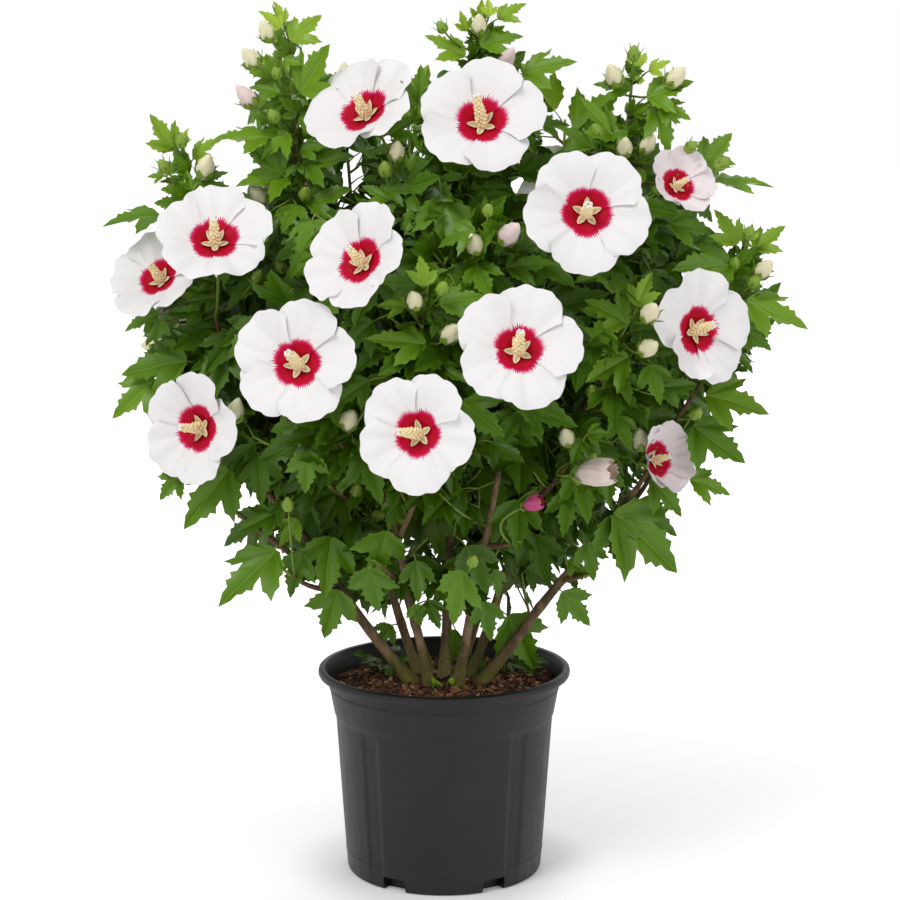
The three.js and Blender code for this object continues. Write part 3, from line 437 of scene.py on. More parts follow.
# Colours along a value: each stop is a place with the code of a colour or the level of a grey
def rampOn(tree, source, stops):
    ramp = addNode(tree, "ShaderNodeValToRGB", Fac=source)
    elements = ramp.color_ramp.elements
    while len(elements) < len(stops):
        elements.new(1.0)
    for element, (place, colour) in zip(elements, stops):
        element.position = place
        element.color = tint(colour) if isinstance(colour, str) else (colour, colour, colour, 1.0)
    return ramp.outputs["Color"]


def bumpOn(tree, source, distance, strength, **below):
    bump = addNode(tree, "ShaderNodeBump", Distance=distance, Strength=strength, Height=source, **below)
    return bump.outputs["Normal"]


def rangeOn(tree, source, **ends):
    return addNode(tree, "ShaderNodeMapRange", Value=source, **ends).outputs["Result"]


# One colour laid over another, and the product of two values
def layOn(tree, share, below, code):
    mix = addNode(tree, "ShaderNodeMix", data_type="RGBA", Factor=share)
    lowerInput, upperInput, colourOutput = 6, 7, 2
    tree.links.new(below, mix.inputs[lowerInput])
    mix.inputs[upperInput].default_value = tint(code)
    return mix.outputs[colourOutput]


def productOn(tree, first, second):
    product = addNode(tree, "ShaderNodeMath", operation="MULTIPLY")
    for source, socket in zip((first, second), product.inputs):
        tree.links.new(source, socket)
    return product.outputs["Value"]


# Small shapes as arrays, and piles of them that become one mesh

def shapeFrom(bm, slotOf=None):
    bmesh.ops.triangulate(bm, faces=bm.faces[:])
    bm.verts.index_update()
    points = np.array([v.co for v in bm.verts], float)
    corners = np.array([[v.index for v in f.verts] for f in bm.faces], np.int64)
    slots = np.array([f.material_index for f in bm.faces], np.int64)
    bm.free()
    if slotOf is not None:
        slots = slotOf(points[corners].mean(axis=1))
    return {"points": points, "corners": corners, "slots": slots}


def newPile():
    return {"points": [], "corners": [], "slots": [], "count": 0, "faces": 0}


def addToPile(pile, shape, points, slots=None):
    pile["points"].append(points)
    pile["corners"].append(shape["corners"] + pile["count"])
    pile["slots"].append(shape["slots"] if slots is None else slots)
    pile["count"] += len(points)
    pile["faces"] += len(shape["corners"])


def addPlain(pile, shape, points, slot):
    addToPile(pile, shape, points, np.full(len(shape["corners"]), slot))


def meshFromPile(name, pile, smooth=True):
    points = np.concatenate(pile["points"])
    corners = np.concatenate(pile["corners"])
    slots = np.concatenate(pile["slots"])
    mesh = bpy.data.meshes.new(name)
    mesh.vertices.add(len(points))
    mesh.vertices.foreach_set("co", points.astype(np.float32).ravel())
    mesh.loops.add(corners.size)
    mesh.loops.foreach_set("vertex_index", corners.astype(np.int32).ravel())
    mesh.polygons.add(len(corners))
    mesh.polygons.foreach_set("loop_start", np.arange(0, corners.size, 3, dtype=np.int32))
    mesh.polygons.foreach_set("material_index", slots.astype(np.int32))
    mesh.polygons.foreach_set("use_smooth", np.full(len(corners), smooth))
    mesh.update(calc_edges=True)
    return mesh


def meshFrom(bm, name):
    mesh = bpy.data.meshes.new(name)
    bm.to_mesh(mesh)
    bm.free()
    return mesh


def newItem(name, data):
    item = bpy.data.objects.new(name, data)
    bpy.context.scene.collection.objects.link(item)
    return item


# A finished piece that stands for its nodes, from a mesh or a pile
def addPiece(name, mesh, materials, nodes):
    if isinstance(mesh, dict):
        mesh = meshFromPile(name, mesh)
    piece = newItem(name, mesh)
    for material in materials:
        mesh.materials.append(material)
    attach(piece, plantBody)
    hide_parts(*nodes)
    print(name, len(mesh.polygons), "faces")
    return piece


def sprayNodes(names):
    return ["spray_" + name for name in names]


# A shape's own X goes onto forward and its own Z onto face
def placed(points, origin, forward, face, size=1.0):
    side = np.cross(face, forward)
    return origin + (points @ np.stack((forward, side, face))) * size


# Tubes: a cylinder with evenly spaced rings that is bent onto a line

tubeKinds = {}


def tubeKind(sides, rings):
    if (sides, rings) not in tubeKinds:
        bm = bmesh.new()
        bmesh.ops.create_cone(bm, cap_ends=True, segments=sides, radius1=1, radius2=1, depth=1)
        if rings > 1:
            upright = [e for e in bm.edges if abs(e.verts[0].co.z - e.verts[1].co.z) > 0.5]
            bmesh.ops.subdivide_edges(bm, edges=upright, cuts=rings - 1, use_grid_fill=True)
        shape = shapeFrom(bm)
        shape["ring"] = np.rint((shape["points"][:, 2] + 0.5) * rings).astype(int)
        shape["faceShare"] = shape["ring"][shape["corners"]].mean(axis=1) / rings
        tubeKinds[(sides, rings)] = shape
    return tubeKinds[(sides, rings)]


def carriedFrames(path):
    tangents = np.gradient(path, axis=0)
    tangents /= np.linalg.norm(tangents, axis=1)[:, None]
    firsts = np.empty_like(path)
    firsts[0] = squareTo(tangents[0], 0)
    for i in range(1, len(path)):
        firsts[i] = squareOff(firsts[i - 1], tangents[i])
    return firsts, np.cross(tangents, firsts)


def bentOnto(path, shape, wide):
    firsts, seconds = carriedFrames(path)
    ring, local = shape["ring"], shape["points"]
    return path[ring] + wide[:, None] * (local[:, :1] * firsts[ring] + local[:, 1:2] * seconds[ring])


def addTube(pile, path, radii, sides, slotOf=None):
    shape = tubeKind(sides, len(path) - 1)
    slots = slotOf(shape["faceShare"]) if slotOf else None
    addToPile(pile, shape, bentOnto(path, shape, radii[shape["ring"]]), slots)


# Each kind of twig: its sides, the length and fewest of its rings, and where brown and olive bark end
twigKinds = {
    "axis": {"sides": 8, "step": 0.008, "fewest": 2, "brownTo": 0.6, "oliveTo": 0.8},
    "side": {"sides": 4, "step": 0.02, "fewest": 2, "brownTo": 0, "oliveTo": 0.35},
    "fine": {"sides": 3, "step": 0.02, "fewest": 2, "brownTo": 0, "oliveTo": 0.35},
    "stalk": {"sides": 5, "step": 0.008, "fewest": 3, "brownTo": 0, "oliveTo": 0},
}
barkBrown, barkOlive, barkGreen = 0, 1, 2
twigs = newPile()
leafStalks = newPile()


def addTwig(kind, line, baseRadius, tipRadius):
    look = twigKinds[kind]

    def barkAt(share):
        ends = (share < look["brownTo"], share < look["oliveTo"])
        return np.select(ends, (barkBrown, barkOlive), barkGreen)

    rings = max(look["fewest"], int(round(line["length"] / look["step"])))
    shares = np.linspace(0, 1, rings + 1)
    addTube(twigs, pointAt(line, shares), mixOf(baseRadius, tipRadius, shares), look["sides"], barkAt)


# How far out a place is: 1 on the crown's outline, which is an ellipse at each height
outlineHeights, outlineLeft, outlineRight = np.array(crown["outline"]).T


def outwardShare(place):
    if place[2] < outlineHeights[0] or place[2] > outlineHeights[-1]:
        return math.inf
    reach = np.interp(place[2], outlineHeights, outlineLeft if place[0] < 0 else outlineRight)
    return math.hypot(place[0] / reach, place[1] / (reach * crown["depthShare"]))


# The stems and the sprays' own stems, which branch from them

stemLook = {
    "slender": 0.84, "flare": 1.5, "flareLength": 0.1, "tipShare": 0.45, "bendOut": 0.46, "bendUp": 0.44,
    "rooted": 0.004, "sides": 22, "ringStep": 0.0036, "wander": 0.0022, "wanderSize": 9.0,
    "ridge": 0.07, "ridgesRound": 2.6, "ridgesAlong": 55, "ridgeDetail": (0.9, 2.1, 4),
    "knotEvery": 0.034, "knotSwell": 0.16, "knotLength": 0.0035, "knotBehind": 0.35,
}
twigLook = {
    "baseRadius": 0.0031, "tipRadius": 0.0012, "sideRadius": 0.0015, "sideTipRadius": 0.0009,
    "fineTipShare": 0.75, "budRadius": 0.0009, "bloomRadius": 0.0013, "spentRadius": 0.001,
    "bendOut": 0.62, "bendUp": 0.42, "wander": 0.004, "wanderSize": 14.0, "leastUsed": 0.45, "spare": 0.02,
}


def stemLine(foot, tip):
    start = np.array((foot[0], foot[1], mixTop - stemLook["rooted"]))
    line = bentLine(start, np.array(tip), stemLook["bendOut"], stemLook["bendUp"])
    return wandering(line, stemLook["wander"], stemLook["wanderSize"])


# A limb wanders a little from its drawn line, least at its ends
def wandering(line, amount, size):
    shares = line["along"]
    moved = line["points"].copy()
    for i, share in enumerate(shares):
        drift = np.array(noise.noise_vector(Vector(moved[i] * size)))
        moved[i] += drift * amount * math.sin(pi * share) * 2
    return throughPoints(moved)


def stemRadius(radius, share):
    flare = 1 + (stemLook["flare"] - 1) * np.maximum(0, 1 - share / stemLook["flareLength"])
    return radius * stemLook["slender"] * flare * mixOf(1, stemLook["tipShare"], share)


stemLines = {name: stemLine(foot, tip) for name, (foot, tip, radius) in stems.items()}


def growAxis(stem, start, tip):
    line = bentLine(pointAt(stemLines[stem], start), np.array(tip), twigLook["bendOut"], twigLook["bendUp"])
    return wandering(line, twigLook["wander"], twigLook["wanderSize"])


axes = {name: growAxis(*spray) for name, spray in sprays.items()}
axisUsed = {name: twigLook["leastUsed"] for name in sprays}
axisShares = np.linspace(0.05, 0.95, 19)


# A spray's own stem is drawn only as far as something grows from it
def useAxis(name, share):
    axisUsed[name] = max(axisUsed[name], min(1.0, float(share) + twigLook["spare"]))


print("limbs grown:", len(stemLines), "stems,", len(axes), "sprays")


# Leaves: a three-lobed blade with coarse teeth, cut along its veins

leafLook = {
    "halfOutline": (
        (0, 0), (0.0, 0.07), (0.07, 0.2), (0.09, 0.3), (0.15, 0.31), (0.2, 0.4), (0.26, 0.39), (0.33, 0.47),
        (0.4, 0.45), (0.53, 0.53), (0.5, 0.4), (0.52, 0.34), (0.42, 0.19), (0.53, 0.19), (0.6, 0.25),
        (0.64, 0.17), (0.72, 0.185), (0.76, 0.105), (0.85, 0.1), (1, 0)),
    "ribHalf": 0.009, "ribWide": 1.5, "ribDeep": 1.4, "pleat": 0.022, "pleats": 8, "pleatEase": 2.5,
    "wavesAlong": 17, "wavesOut": 9, "waveEase": 6, "curlFoot": 0.4,
    "veins": (((0.02, 0.0), (0.2, 0.4)), ((0.03, 0.0), (0.53, 0.53)), ((0.33, 0.0), (0.6, 0.25))),
    "variants": (
        {"droop": 0.12, "arch": 0.20, "curl": 0.85, "wave": 0.016, "sway": 0.05, "width": 1.0},
        {"droop": 0.22, "arch": 0.12, "curl": 0.60, "wave": 0.024, "sway": -0.08, "width": 0.93},
        {"droop": 0.04, "arch": 0.26, "curl": 1.00, "wave": 0.02, "sway": 0.1, "width": 1.04},
        {"droop": 0.16, "arch": 0.05, "curl": 0.55, "wave": 0.026, "sway": -0.03, "width": 0.9},
        {"droop": 0.30, "arch": 0.18, "curl": 0.75, "wave": 0.018, "sway": 0.0, "width": 0.97},
    ),
}


def cutAlong(bm, start, end, offset):
    line = Vector((end[0] - start[0], end[1] - start[1], 0)).normalized()
    across = Vector((-line.y, line.x, 0))
    place = Vector((start[0], start[1], 0)) + across * offset
    geometry = bm.verts[:] + bm.edges[:] + bm.faces[:]
    bmesh.ops.bisect_plane(bm, geom=geometry, dist=1e-5, plane_co=place, plane_no=across)


def makeLeafKind():
    bm = bmesh.new()
    rim = [bm.verts.new((x, y, 0)) for x, y in leafLook["halfOutline"]]
    bm.faces.new(rim)
    cutAlong(bm, (0, 0), (1, 0), leafLook["ribHalf"])
    for start, end in leafLook["veins"]:
        cutAlong(bm, start, end, 0)
    bmesh.ops.recalc_face_normals(bm, faces=bm.faces[:])
    if bm.faces[:][0].normal.z < 0:
        bmesh.ops.reverse_faces(bm, faces=bm.faces[:])
    bmesh.ops.mirror(bm, geom=bm.verts[:] + bm.edges[:] + bm.faces[:], axis="Y", merge_dist=1e-5)
    bmesh.ops.remove_doubles(bm, verts=bm.verts[:], dist=1e-5)
    bmesh.ops.recalc_face_normals(bm, faces=bm.faces[:])
    if sum(f.normal.z for f in bm.faces) < 0:
        bmesh.ops.reverse_faces(bm, faces=bm.faces[:])
    return shapeFrom(bm, leafSlots)


def leafSlots(middles):
    return (np.abs(middles[:, 1]) < leafLook["ribHalf"]).astype(np.int64)


def bentLeaf(look):
    x, y = leafKind["points"][:, 0], leafKind["points"][:, 1] * look["width"]
    out = np.abs(y)
    rib = np.maximum(0, leafLook["ribHalf"] * leafLook["ribWide"] - out)
    z = look["arch"] * out - look["droop"] * x ** 2 - look["curl"] * out ** 2 * (leafLook["curlFoot"] + x)
    waves = np.sin(leafLook["wavesAlong"] * x + leafLook["wavesOut"] * out)
    z += look["wave"] * waves * np.minimum(out * leafLook["waveEase"], 1)
    pleats = np.cos(np.arctan2(out, x) * leafLook["pleats"])
    z -= leafLook["pleat"] * pleats * np.minimum(np.hypot(x, out) * leafLook["pleatEase"], 1)
    z -= rib * leafLook["ribDeep"]
    return np.stack((x, y + look["sway"] * x ** 2, z), axis=1)


leafKind = makeLeafKind()
leafKinds = [bentLeaf(look) for look in leafLook["variants"]]
leafProbes = np.array(((0, 0, 0), (0.35, 0, 0), (0.65, 0, 0), (1, 0, 0), (0.45, 0.42, 0), (0.45, -0.42, 0)))
print("leaf:", len(leafKind["corners"]), "triangles")

# Places that the photo shows in full: each keeps a straight way open in front of it
openWays = []
seenEdge = np.array(crownSeen, float)
seenNext = np.roll(seenEdge, -1, axis=0)
skySpots = np.array(skySeen, float)


# True where every place is inside the crown's outline from the front and off the sky that shows in it
def withinSeen(places, margin=0.0):
    pixels = pixelOf(places)
    across, down = pixels[:, :1], pixels[:, 1:]
    straddles = (seenEdge[:, 1] > down) != (seenNext[:, 1] > down)
    rise = np.where(seenNext[:, 1] == seenEdge[:, 1], 1e-6, seenNext[:, 1] - seenEdge[:, 1])
    crossing = seenEdge[:, 0] + (down - seenEdge[:, 1]) * (seenNext[:, 0] - seenEdge[:, 0]) / rise
    inside = ((straddles & (across < crossing)).sum(axis=1) % 2) == 1
    onSky = np.linalg.norm(pixels[:, None, :] - skySpots[:, :2], axis=2) < skySpots[:, 2] + margin
    return bool(inside.all() and not onSky.any())


openLook = {
    "faceAhead": 0.12, "faceBehind": -0.012, "faceMargin": 0.006, "viewAhead": 0.5, "viewBehind": 0.002,
    "viewMargin": 0.003, "viewFacing": 0.15, "budRadius": {"cream": 0.013, "pink": 0.014, "green": 0.009},
    "limbRadius": 0.006, "limbStep": 0.04, "rimDeep": 0.7, "closedRim": 0.8,
}


def keepOpen(place, direction, radius, behind, ahead):
    openWays.append((*place, *direction, radius, behind, ahead))


def keepInView(place, radius, behind=0.0):
    keepOpen(place, unit(eye - place), radius, behind, openLook["viewAhead"])


def keepBloomOpen(place, direction, radius):
    keepOpen(place, direction, radius + openLook["faceMargin"], openLook["faceBehind"], openLook["faceAhead"])
    if unit(eye - place) @ direction > openLook["viewFacing"]:
        keepInView(place, radius + openLook["viewMargin"], openLook["viewBehind"])


def inTheWay(points):
    ways = np.array(openWays)
    offset = points[:, None, :] - ways[None, :, :3]
    ahead = np.einsum("ijk,jk->ij", offset, ways[:, 3:6])
    aside = np.linalg.norm(offset - ahead[..., None] * ways[:, 3:6], axis=2)
    return bool(np.any((ahead > ways[:, 7]) & (ahead < ways[:, 8]) & (aside < ways[:, 6])))


for x, y, z, turn, lift, radius, openness in openBlooms.values():
    direction = facing(turn, lift)
    rim = np.array((x, y, z)) + direction * radius * openLook["rimDeep"] * (1 - openness)
    keepBloomOpen(rim, direction, radius * mixOf(openLook["closedRim"], 1, openness))

# Two blooms that are over show from the front as well: place and radius
spentSeen = (((0.128, -0.125, 0.377), 0.02), ((0.071, -0.17, 0.356), 0.01))
for place, radius in spentSeen:
    keepInView(np.array(place), radius)

# The bare parts of the limbs that show between the leaves: the share of each that does
bareShares = {
    "left_low": (0.04, 0.72), "left": (0.04, 0.34), "front_left": (0.04, 0.32), "centre": (0.04, 0.24),
    "front_right": (0.04, 0.34), "right": (0.04, 0.4), "right_low": (0.04, 1.0),
}
for name, (low, high) in bareShares.items():
    for share in np.arange(low, high, openLook["limbStep"]):
        keepInView(pointAt(stemLines[name], share), openLook["limbRadius"])

# Buds: those that the photo shows, and a few at the tips that it doesn't show
budGrowth = {
    "forward": 0.024, "samples": 60, "lowest": 0.3, "rootBack": 0.03, "rise": 0.6, "towards": 0.25,
    "sideBuds": 3, "firstShare": 0.995, "stepShare": 0.045, "aside": 0.8, "stalk": 0.026, "tipStalk": 0.01,
    "length": {"cream": 0.024, "pink": 0.027, "green": 0.0145}, "shortest": 0.88, "longest": 1.14,
    "middle": 0.55, "tipKinds": ("cream", "green", "green", "pink"),
}
buds = []


def addBud(kind, root, middle, lineOut, key):
    length = budGrowth["length"][kind] * spreadOf(budGrowth["shortest"], budGrowth["longest"], key, 31)
    base = middle - lineOut * length * budGrowth["middle"]
    buds.append({"kind": kind, "root": root, "base": base, "line": lineOut, "length": length, "key": key})


def growSeenBud(name, axis, across, down, kind, key):
    shares = np.linspace(budGrowth["lowest"], 1, budGrowth["samples"])
    along = pointAt(axis, shares)
    nearest = int(np.argmin(np.linalg.norm(pixelOf(along) - np.array((across, down)), axis=1)))
    middle = placeFromPhoto(across, down, along[nearest][1] - budGrowth["forward"])
    back = int(budGrowth["samples"] * budGrowth["rootBack"] / axis["length"])
    spot = max(0, int(np.argmin(np.linalg.norm(along - middle, axis=1))) - back)
    root = along[spot]
    useAxis(name, shares[spot])
    lineOut = unit(unit(middle - root) + upward * budGrowth["rise"] + facing(0, 0) * budGrowth["towards"])
    addBud(kind, root, middle, lineOut, key)
    keepInView(middle, openLook["budRadius"][kind])


def growTipBud(name, axis, order, k, key):
    share = budGrowth["firstShare"] - budGrowth["stepShare"] * k
    tangent = tangentAt(axis, share)
    aside = squareTo(tangent, chance(order, 2) * 2 * pi + k * golden)
    lineOut = unit(tangent + aside * (0 if k == 0 else budGrowth["aside"]))
    root = pointAt(axis, share)
    kind = budGrowth["tipKinds"][int(chance(key, 37) * len(budGrowth["tipKinds"]))]
    middle = root + lineOut * (budGrowth["tipStalk"] if k == 0 else budGrowth["stalk"])
    if outwardShare(middle) < 1 and withinSeen(np.array((middle, root))):
        addBud(kind, root, middle, lineOut, key)
        useAxis(name, share)


for order, (name, axis) in enumerate(axes.items()):
    for k, (across, down, kind) in enumerate(budsSeen.get(name, ())):
        growSeenBud(name, axis, across, down, kind, order * 20 + k)
    if name not in budsSeen and ("skirt" not in name or "back" in name):
        for k in range(budGrowth["sideBuds"]):
            growTipBud(name, axis, order, k, order * 20 + k)
print("buds:", len(buds))

# Foliage by the clump's own rule: leaves turn round each axis by one angle, with a side twig at every
# second one, and longer side twigs carry finer ones
leafGrowth = {
    "spacing": 0.0112, "first": 0.05, "last": 0.985, "fewest": 3, "tries": 9, "swing": 0.7, "forward": 0.45,
    "fullTries": 5, "lateShrink": 0.85, "length": 0.0485, "wild": 0.2, "youngFrom": 0.7, "smallFrom": 0.68,
    "smallest": 0.5, "topShrink": 0.84, "petiole": 0.34, "stalkAlong": 0.6, "outline": 0.96,
    "spurEvery": 2, "spurYoung": 0.7, "barestTop": 0.8, "skyMargin": 4.0, "edgeRoom": 1.22, "most": 6000,
}
crowdLook = {
    "inside": 0.0095, "outside": 0.0175, "insideTo": 0.5, "outsideFrom": 0.85, "depth": 0.5,
    "top": 1.2, "topFrom": 0.6, "topTo": 0.7,
}
leafHang = {
    "lowHeight": 0.3, "highHeight": 0.72, "turnOut": 1.2, "outward": 0.5, "drop": -1.1, "rise": -0.1,
    "youngRise": 0.85, "faceWild": 0.42, "faceUp": 0.42, "youngFaceUp": 0.3, "faceOut": 0.5,
    "faceAlong": 1.05, "middleY": 0.05, "middleDepth": 0.06,
}
leafStalkLook = {
    "radius": 0.0008, "radii": (1.25, 0.9, 0.8), "sides": 3, "bendShare": 0.55, "bow": 0.12, "tuck": 0.02,
}
spurGrowth = {
    "length": 0.094, "shorten": 0.55, "least": 0.7, "wild": 0.6, "spacing": 0.0115, "firstLeaf": 0.9,
    "outward": 0.7, "rise": 0.5, "bow": 0.12, "fineFrom": 0.05, "fineLength": 0.5, "fineShorten": 0.4,
    "fineEvery": 2, "fineForward": 0.8, "fineRise": 0.35, "fineBow": 0.003, "fineLeaves": 2,
}
# Six leaf greens from deep to young, each with a lighter green for its midrib; the deeper ones also serve as
# painted shade inside and low in the crown
greens = (
    ("leafDeep", "466a06", "5f8426"), ("leafDark", "507808", "6c922e"), ("leafMid", "5e880c", "7ca236"),
    ("leafFresh", "6f9814", "8eb244"), ("leafLight", "85aa22", "a4c256"), ("leafYoung", "a4c432", "c0d868"),
)
# Painted light and shade: the green grows lighter higher up and further out, and lighter still with youth,
# which is the leaves' own colour
greenLook = {
    "least": 0.55, "lowHeight": 0.25, "highHeight": 0.75, "shadeByHeight": 1.15, "middleReach": 0.5,
    "shadeByReach": 1.3, "bySpray": 0.9, "wild": 1.7, "byYouth": 3.4,
}
leafPieces = {"leaves_front": [], "leaves_tall": [], "leaves_low": [], "leaves_back": []}
for name in sprays:
    if "back" in name or name == "middle_tall":
        leafPieces["leaves_back"].append(name)
    elif "skirt" in name or name in ("left_low", "right_low"):
        leafPieces["leaves_low"].append(name)
    else:
        leafPieces["leaves_tall" if name in tallSprays else "leaves_front"].append(name)
leafPiles = {name: newPile() for name in leafPieces}
pileOf = {spray: leafPiles[piece] for piece, members in leafPieces.items() for spray in members}
leafMiddles = np.empty((leafGrowth["most"], 3))
leafCount = 0


def noteLeaf(middle):
    global leafCount
    leafMiddles[leafCount] = middle
    leafCount += 1


def leafPose(place, away, young, key):
    outward = unit((place[0], place[1], 0))
    high = easeBetween(place[2], leafHang["lowHeight"], leafHang["highHeight"])
    inward = min(0.0, float(away @ outward))
    rise = mixOf(leafHang["drop"], leafHang["rise"], high) + young * leafHang["youngRise"]
    direction = unit(away + outward * (leafHang["outward"] - leafHang["turnOut"] * inward) + upward * rise)
    turn = chance(key, 17) * 2 * pi
    face = np.array((math.cos(turn), math.sin(turn), 0)) * leafHang["faceWild"]
    up = leafHang["faceUp"] + young * leafHang["youngFaceUp"]
    face = face + upward * up + outward * leafHang["faceOut"]
    face[1] += leafHang["faceAlong"] * math.tanh((place[1] - leafHang["middleY"]) / leafHang["middleDepth"])
    return direction, squareOff(face, direction)


# Deeper greens inside the crown and low down are painted shade, and lighter ones outside and high up are
# painted light; young leaves at the tips are lighter in their own colour, and the greens shift a little by
# spray
def greenFor(order, place, young, key):
    look = greenLook
    height = easeBetween(place[2], look["lowHeight"], look["highHeight"])
    reach = min(1.0, outwardShare(place)) - look["middleReach"]
    value = look["least"] + look["shadeByHeight"] * height + look["shadeByReach"] * reach
    value += look["bySpray"] * (chance(order, 29) - 0.5)
    value += look["wild"] * (chance(key, 23) - 0.5) + look["byYouth"] * young
    return int(min(max(value, 0), len(greens) - 1))


def leafSize(key, share, tall):
    wild = 1 + (chance(key, 5) - 0.5) * 2 * leafGrowth["wild"]
    small = easeBetween(share, leafGrowth["smallFrom"], 1)
    top = leafGrowth["topShrink"] if tall else 1
    return leafGrowth["length"] * wild * top * mixOf(1, leafGrowth["smallest"], small)


def putLeaf(pile, root, start, direction, face, size, green, key):
    look = leafStalkLook
    bent = leafKinds[int(chance(key, 41) * len(leafKinds))]
    addToPile(pile, leafKind, placed(bent, start, direction, face, size), leafKind["slots"] + 2 * green)
    bow = mixOf(root, start, look["bendShare"]) + upward * np.linalg.norm(start - root) * look["bow"]
    stalk = quadratic(root, bow, start + direction * size * look["tuck"], 2)
    addTube(leafStalks, stalk["points"], np.array(look["radii"]) * look["radius"], look["sides"])


# Leaves keep apart across the crown, less so in depth, and least where they are inside it
def tooNear(middle, room):
    look = crowdLook
    outward = unit((middle[0], middle[1], 0))
    outside = easeBetween(outwardShare(middle), look["insideTo"], look["outsideFrom"])
    spacing = mixOf(look["inside"], look["outside"], outside)
    spacing *= mixOf(1, look["top"], easeBetween(middle[2], look["topFrom"], look["topTo"]))
    spacing *= room
    offset = leafMiddles[:leafCount] - middle
    deep = (offset @ outward) ** 2 * (1 - look["depth"] ** 2)
    return leafCount > 0 and ((offset ** 2).sum(axis=1) - deep).min() < spacing ** 2


# A place on a line where a leaf may grow. Its share is that of the spray's own stem, if it is on one
def siteOn(name, order, line, at, turn, key, size, young=0.0, **more):
    site = {
        "spray": name, "order": order, "root": pointAt(line, at), "tangent": tangentAt(line, at), "at": at,
        "turn": turn, "key": key, "size": size, "young": young, "share": None, "twig": None, "room": 1.0}
    return {**site, **more}


def growLeaf(site):
    root, key, tangent = site["root"], site["key"], site["tangent"]
    if not withinSeen(root[None]):
        return
    for tries in range(leafGrowth["tries"]):
        swing = (-1 if tries % 2 else 1) * math.ceil(tries / 2) * leafGrowth["swing"]
        away = squareTo(tangent, site["turn"] + swing) + tangent * leafGrowth["forward"]
        direction, face = leafPose(root, away, site["young"], key + tries)
        size = site["size"] * (1 if tries < leafGrowth["fullTries"] else leafGrowth["lateShrink"])
        lineOut = unit(unit(away) + direction * leafGrowth["stalkAlong"])
        start = root + lineOut * size * leafGrowth["petiole"]
        probes = placed(leafProbes, start, direction, face, size)
        middle = probes[1:3].mean(axis=0)
        if outwardShare(probes[3]) > leafGrowth["outline"] or inTheWay(probes):
            continue
        roomy = middle + (probes - middle) * leafGrowth["edgeRoom"]
        if tooNear(middle, site["room"]) or not withinSeen(roomy, leafGrowth["skyMargin"]):
            continue
        green = greenFor(site["order"], middle, site["young"], key)
        putLeaf(pileOf[site["spray"]], root, start, direction, face, size, green, key)
        noteLeaf(middle)
        if site["twig"]:
            reachTo(site["twig"], site["at"])
        if site["share"] is not None:
            useAxis(site["spray"], site["share"])
        return


# A side twig is grown once its leaves are known, only as far as they reach
sideTwigs = []


def newSideTwig(kind, line, radii, carrier=None, at=0.0):
    sideTwigs.append({"kind": kind, "line": line, "radii": radii, "carrier": carrier, "at": at, "used": 0.0})
    return sideTwigs[-1]


def reachTo(twig, share):
    twig["used"] = max(twig["used"], share)
    if twig["carrier"]:
        reachTo(twig["carrier"], twig["at"])


def sitesAlong(name, order, twig, key, count, share, tall, young):
    sites = []
    for i in range(count):
        turn = chance(key, 11) * 2 * pi + i * golden
        leafKey = key + (i + 1) / 10
        size = leafSize(leafKey, share, tall)
        at = (i + spurGrowth["firstLeaf"]) / count
        more = {"twig": twig, "share": share}
        sites.append(siteOn(name, order, twig["line"], at, turn, leafKey, size, young, **more))
    return sites


def hasRoom(ends):
    return outwardShare(ends[-1]) <= crown["twigShare"] and not inTheWay(ends) and withinSeen(ends)


# A side twig from the axis outwards, with finer ones on a long one, and the places of their leaves
def growSpur(name, order, axis, key, share, turn, tall, young):
    look = spurGrowth
    root = pointAt(axis, share)
    wild = look["least"] + look["wild"] * chance(key, 7)
    length = look["length"] * (1 - look["shorten"] * share) * wild
    outward = unit((root[0], root[1], 0))
    away = -squareTo(tangentAt(axis, share), turn)
    lineOut = unit(away + outward * look["outward"] + upward * look["rise"])
    tip = root + lineOut * length
    if not hasRoom(np.array((mixOf(root, tip, 0.6), tip))):
        return []
    line = quadratic(root, mixOf(root, tip, 0.5) - upward * length * look["bow"], tip, 8)
    thin = twigLook["sideTipRadius"]
    twig = newSideTwig("side", line, (twigLook["sideRadius"], thin))
    count = max(2, round(length / look["spacing"]))
    sites = sitesAlong(name, order, twig, key, count, share, tall, young)
    if length <= look["fineFrom"]:
        return sites
    for i in range(1, count - 1, look["fineEvery"]):
        fineKey = key + 0.37 + i
        start = pointAt(line, i / count)
        side = squareTo(lineOut, chance(fineKey, 3) * 2 * pi)
        fineOut = unit(side + lineOut * look["fineForward"] + upward * look["fineRise"])
        end = start + fineOut * length * look["fineLength"] * (1 - look["fineShorten"] * i / count)
        if not hasRoom(end[None]):
            continue
        fine = quadratic(start, mixOf(start, end, 0.5) - upward * look["fineBow"], end, 4)
        fineTwig = newSideTwig("fine", fine, (thin, thin * twigLook["fineTipShare"]), twig, i / count)
        sites += sitesAlong(name, order, fineTwig, fineKey, look["fineLeaves"], share, tall, young)
    return sites


sites = []
for order, (name, axis) in enumerate(axes.items()):
    tall = name in tallSprays
    count = max(leafGrowth["fewest"], round(axis["length"] / leafGrowth["spacing"]))
    for k in range(count):
        key = order * 50 + k
        share = mixOf(leafGrowth["first"], leafGrowth["last"], (k + 0.5) / count)
        turn = chance(order, 1) * 2 * pi + k * golden
        young = easeBetween(share, leafGrowth["youngFrom"], 1) if tall else 0.0
        size = leafSize(key, share, tall)
        sites.append(siteOn(name, order, axis, share, turn, key, size, young, share=share))
        if k % leafGrowth["spurEvery"] == 1 and not (tall and share > leafGrowth["barestTop"]):
            youngSpur = young * leafGrowth["spurYoung"]
            sites += growSpur(name, order, axis, key, share, turn, tall, youngSpur)


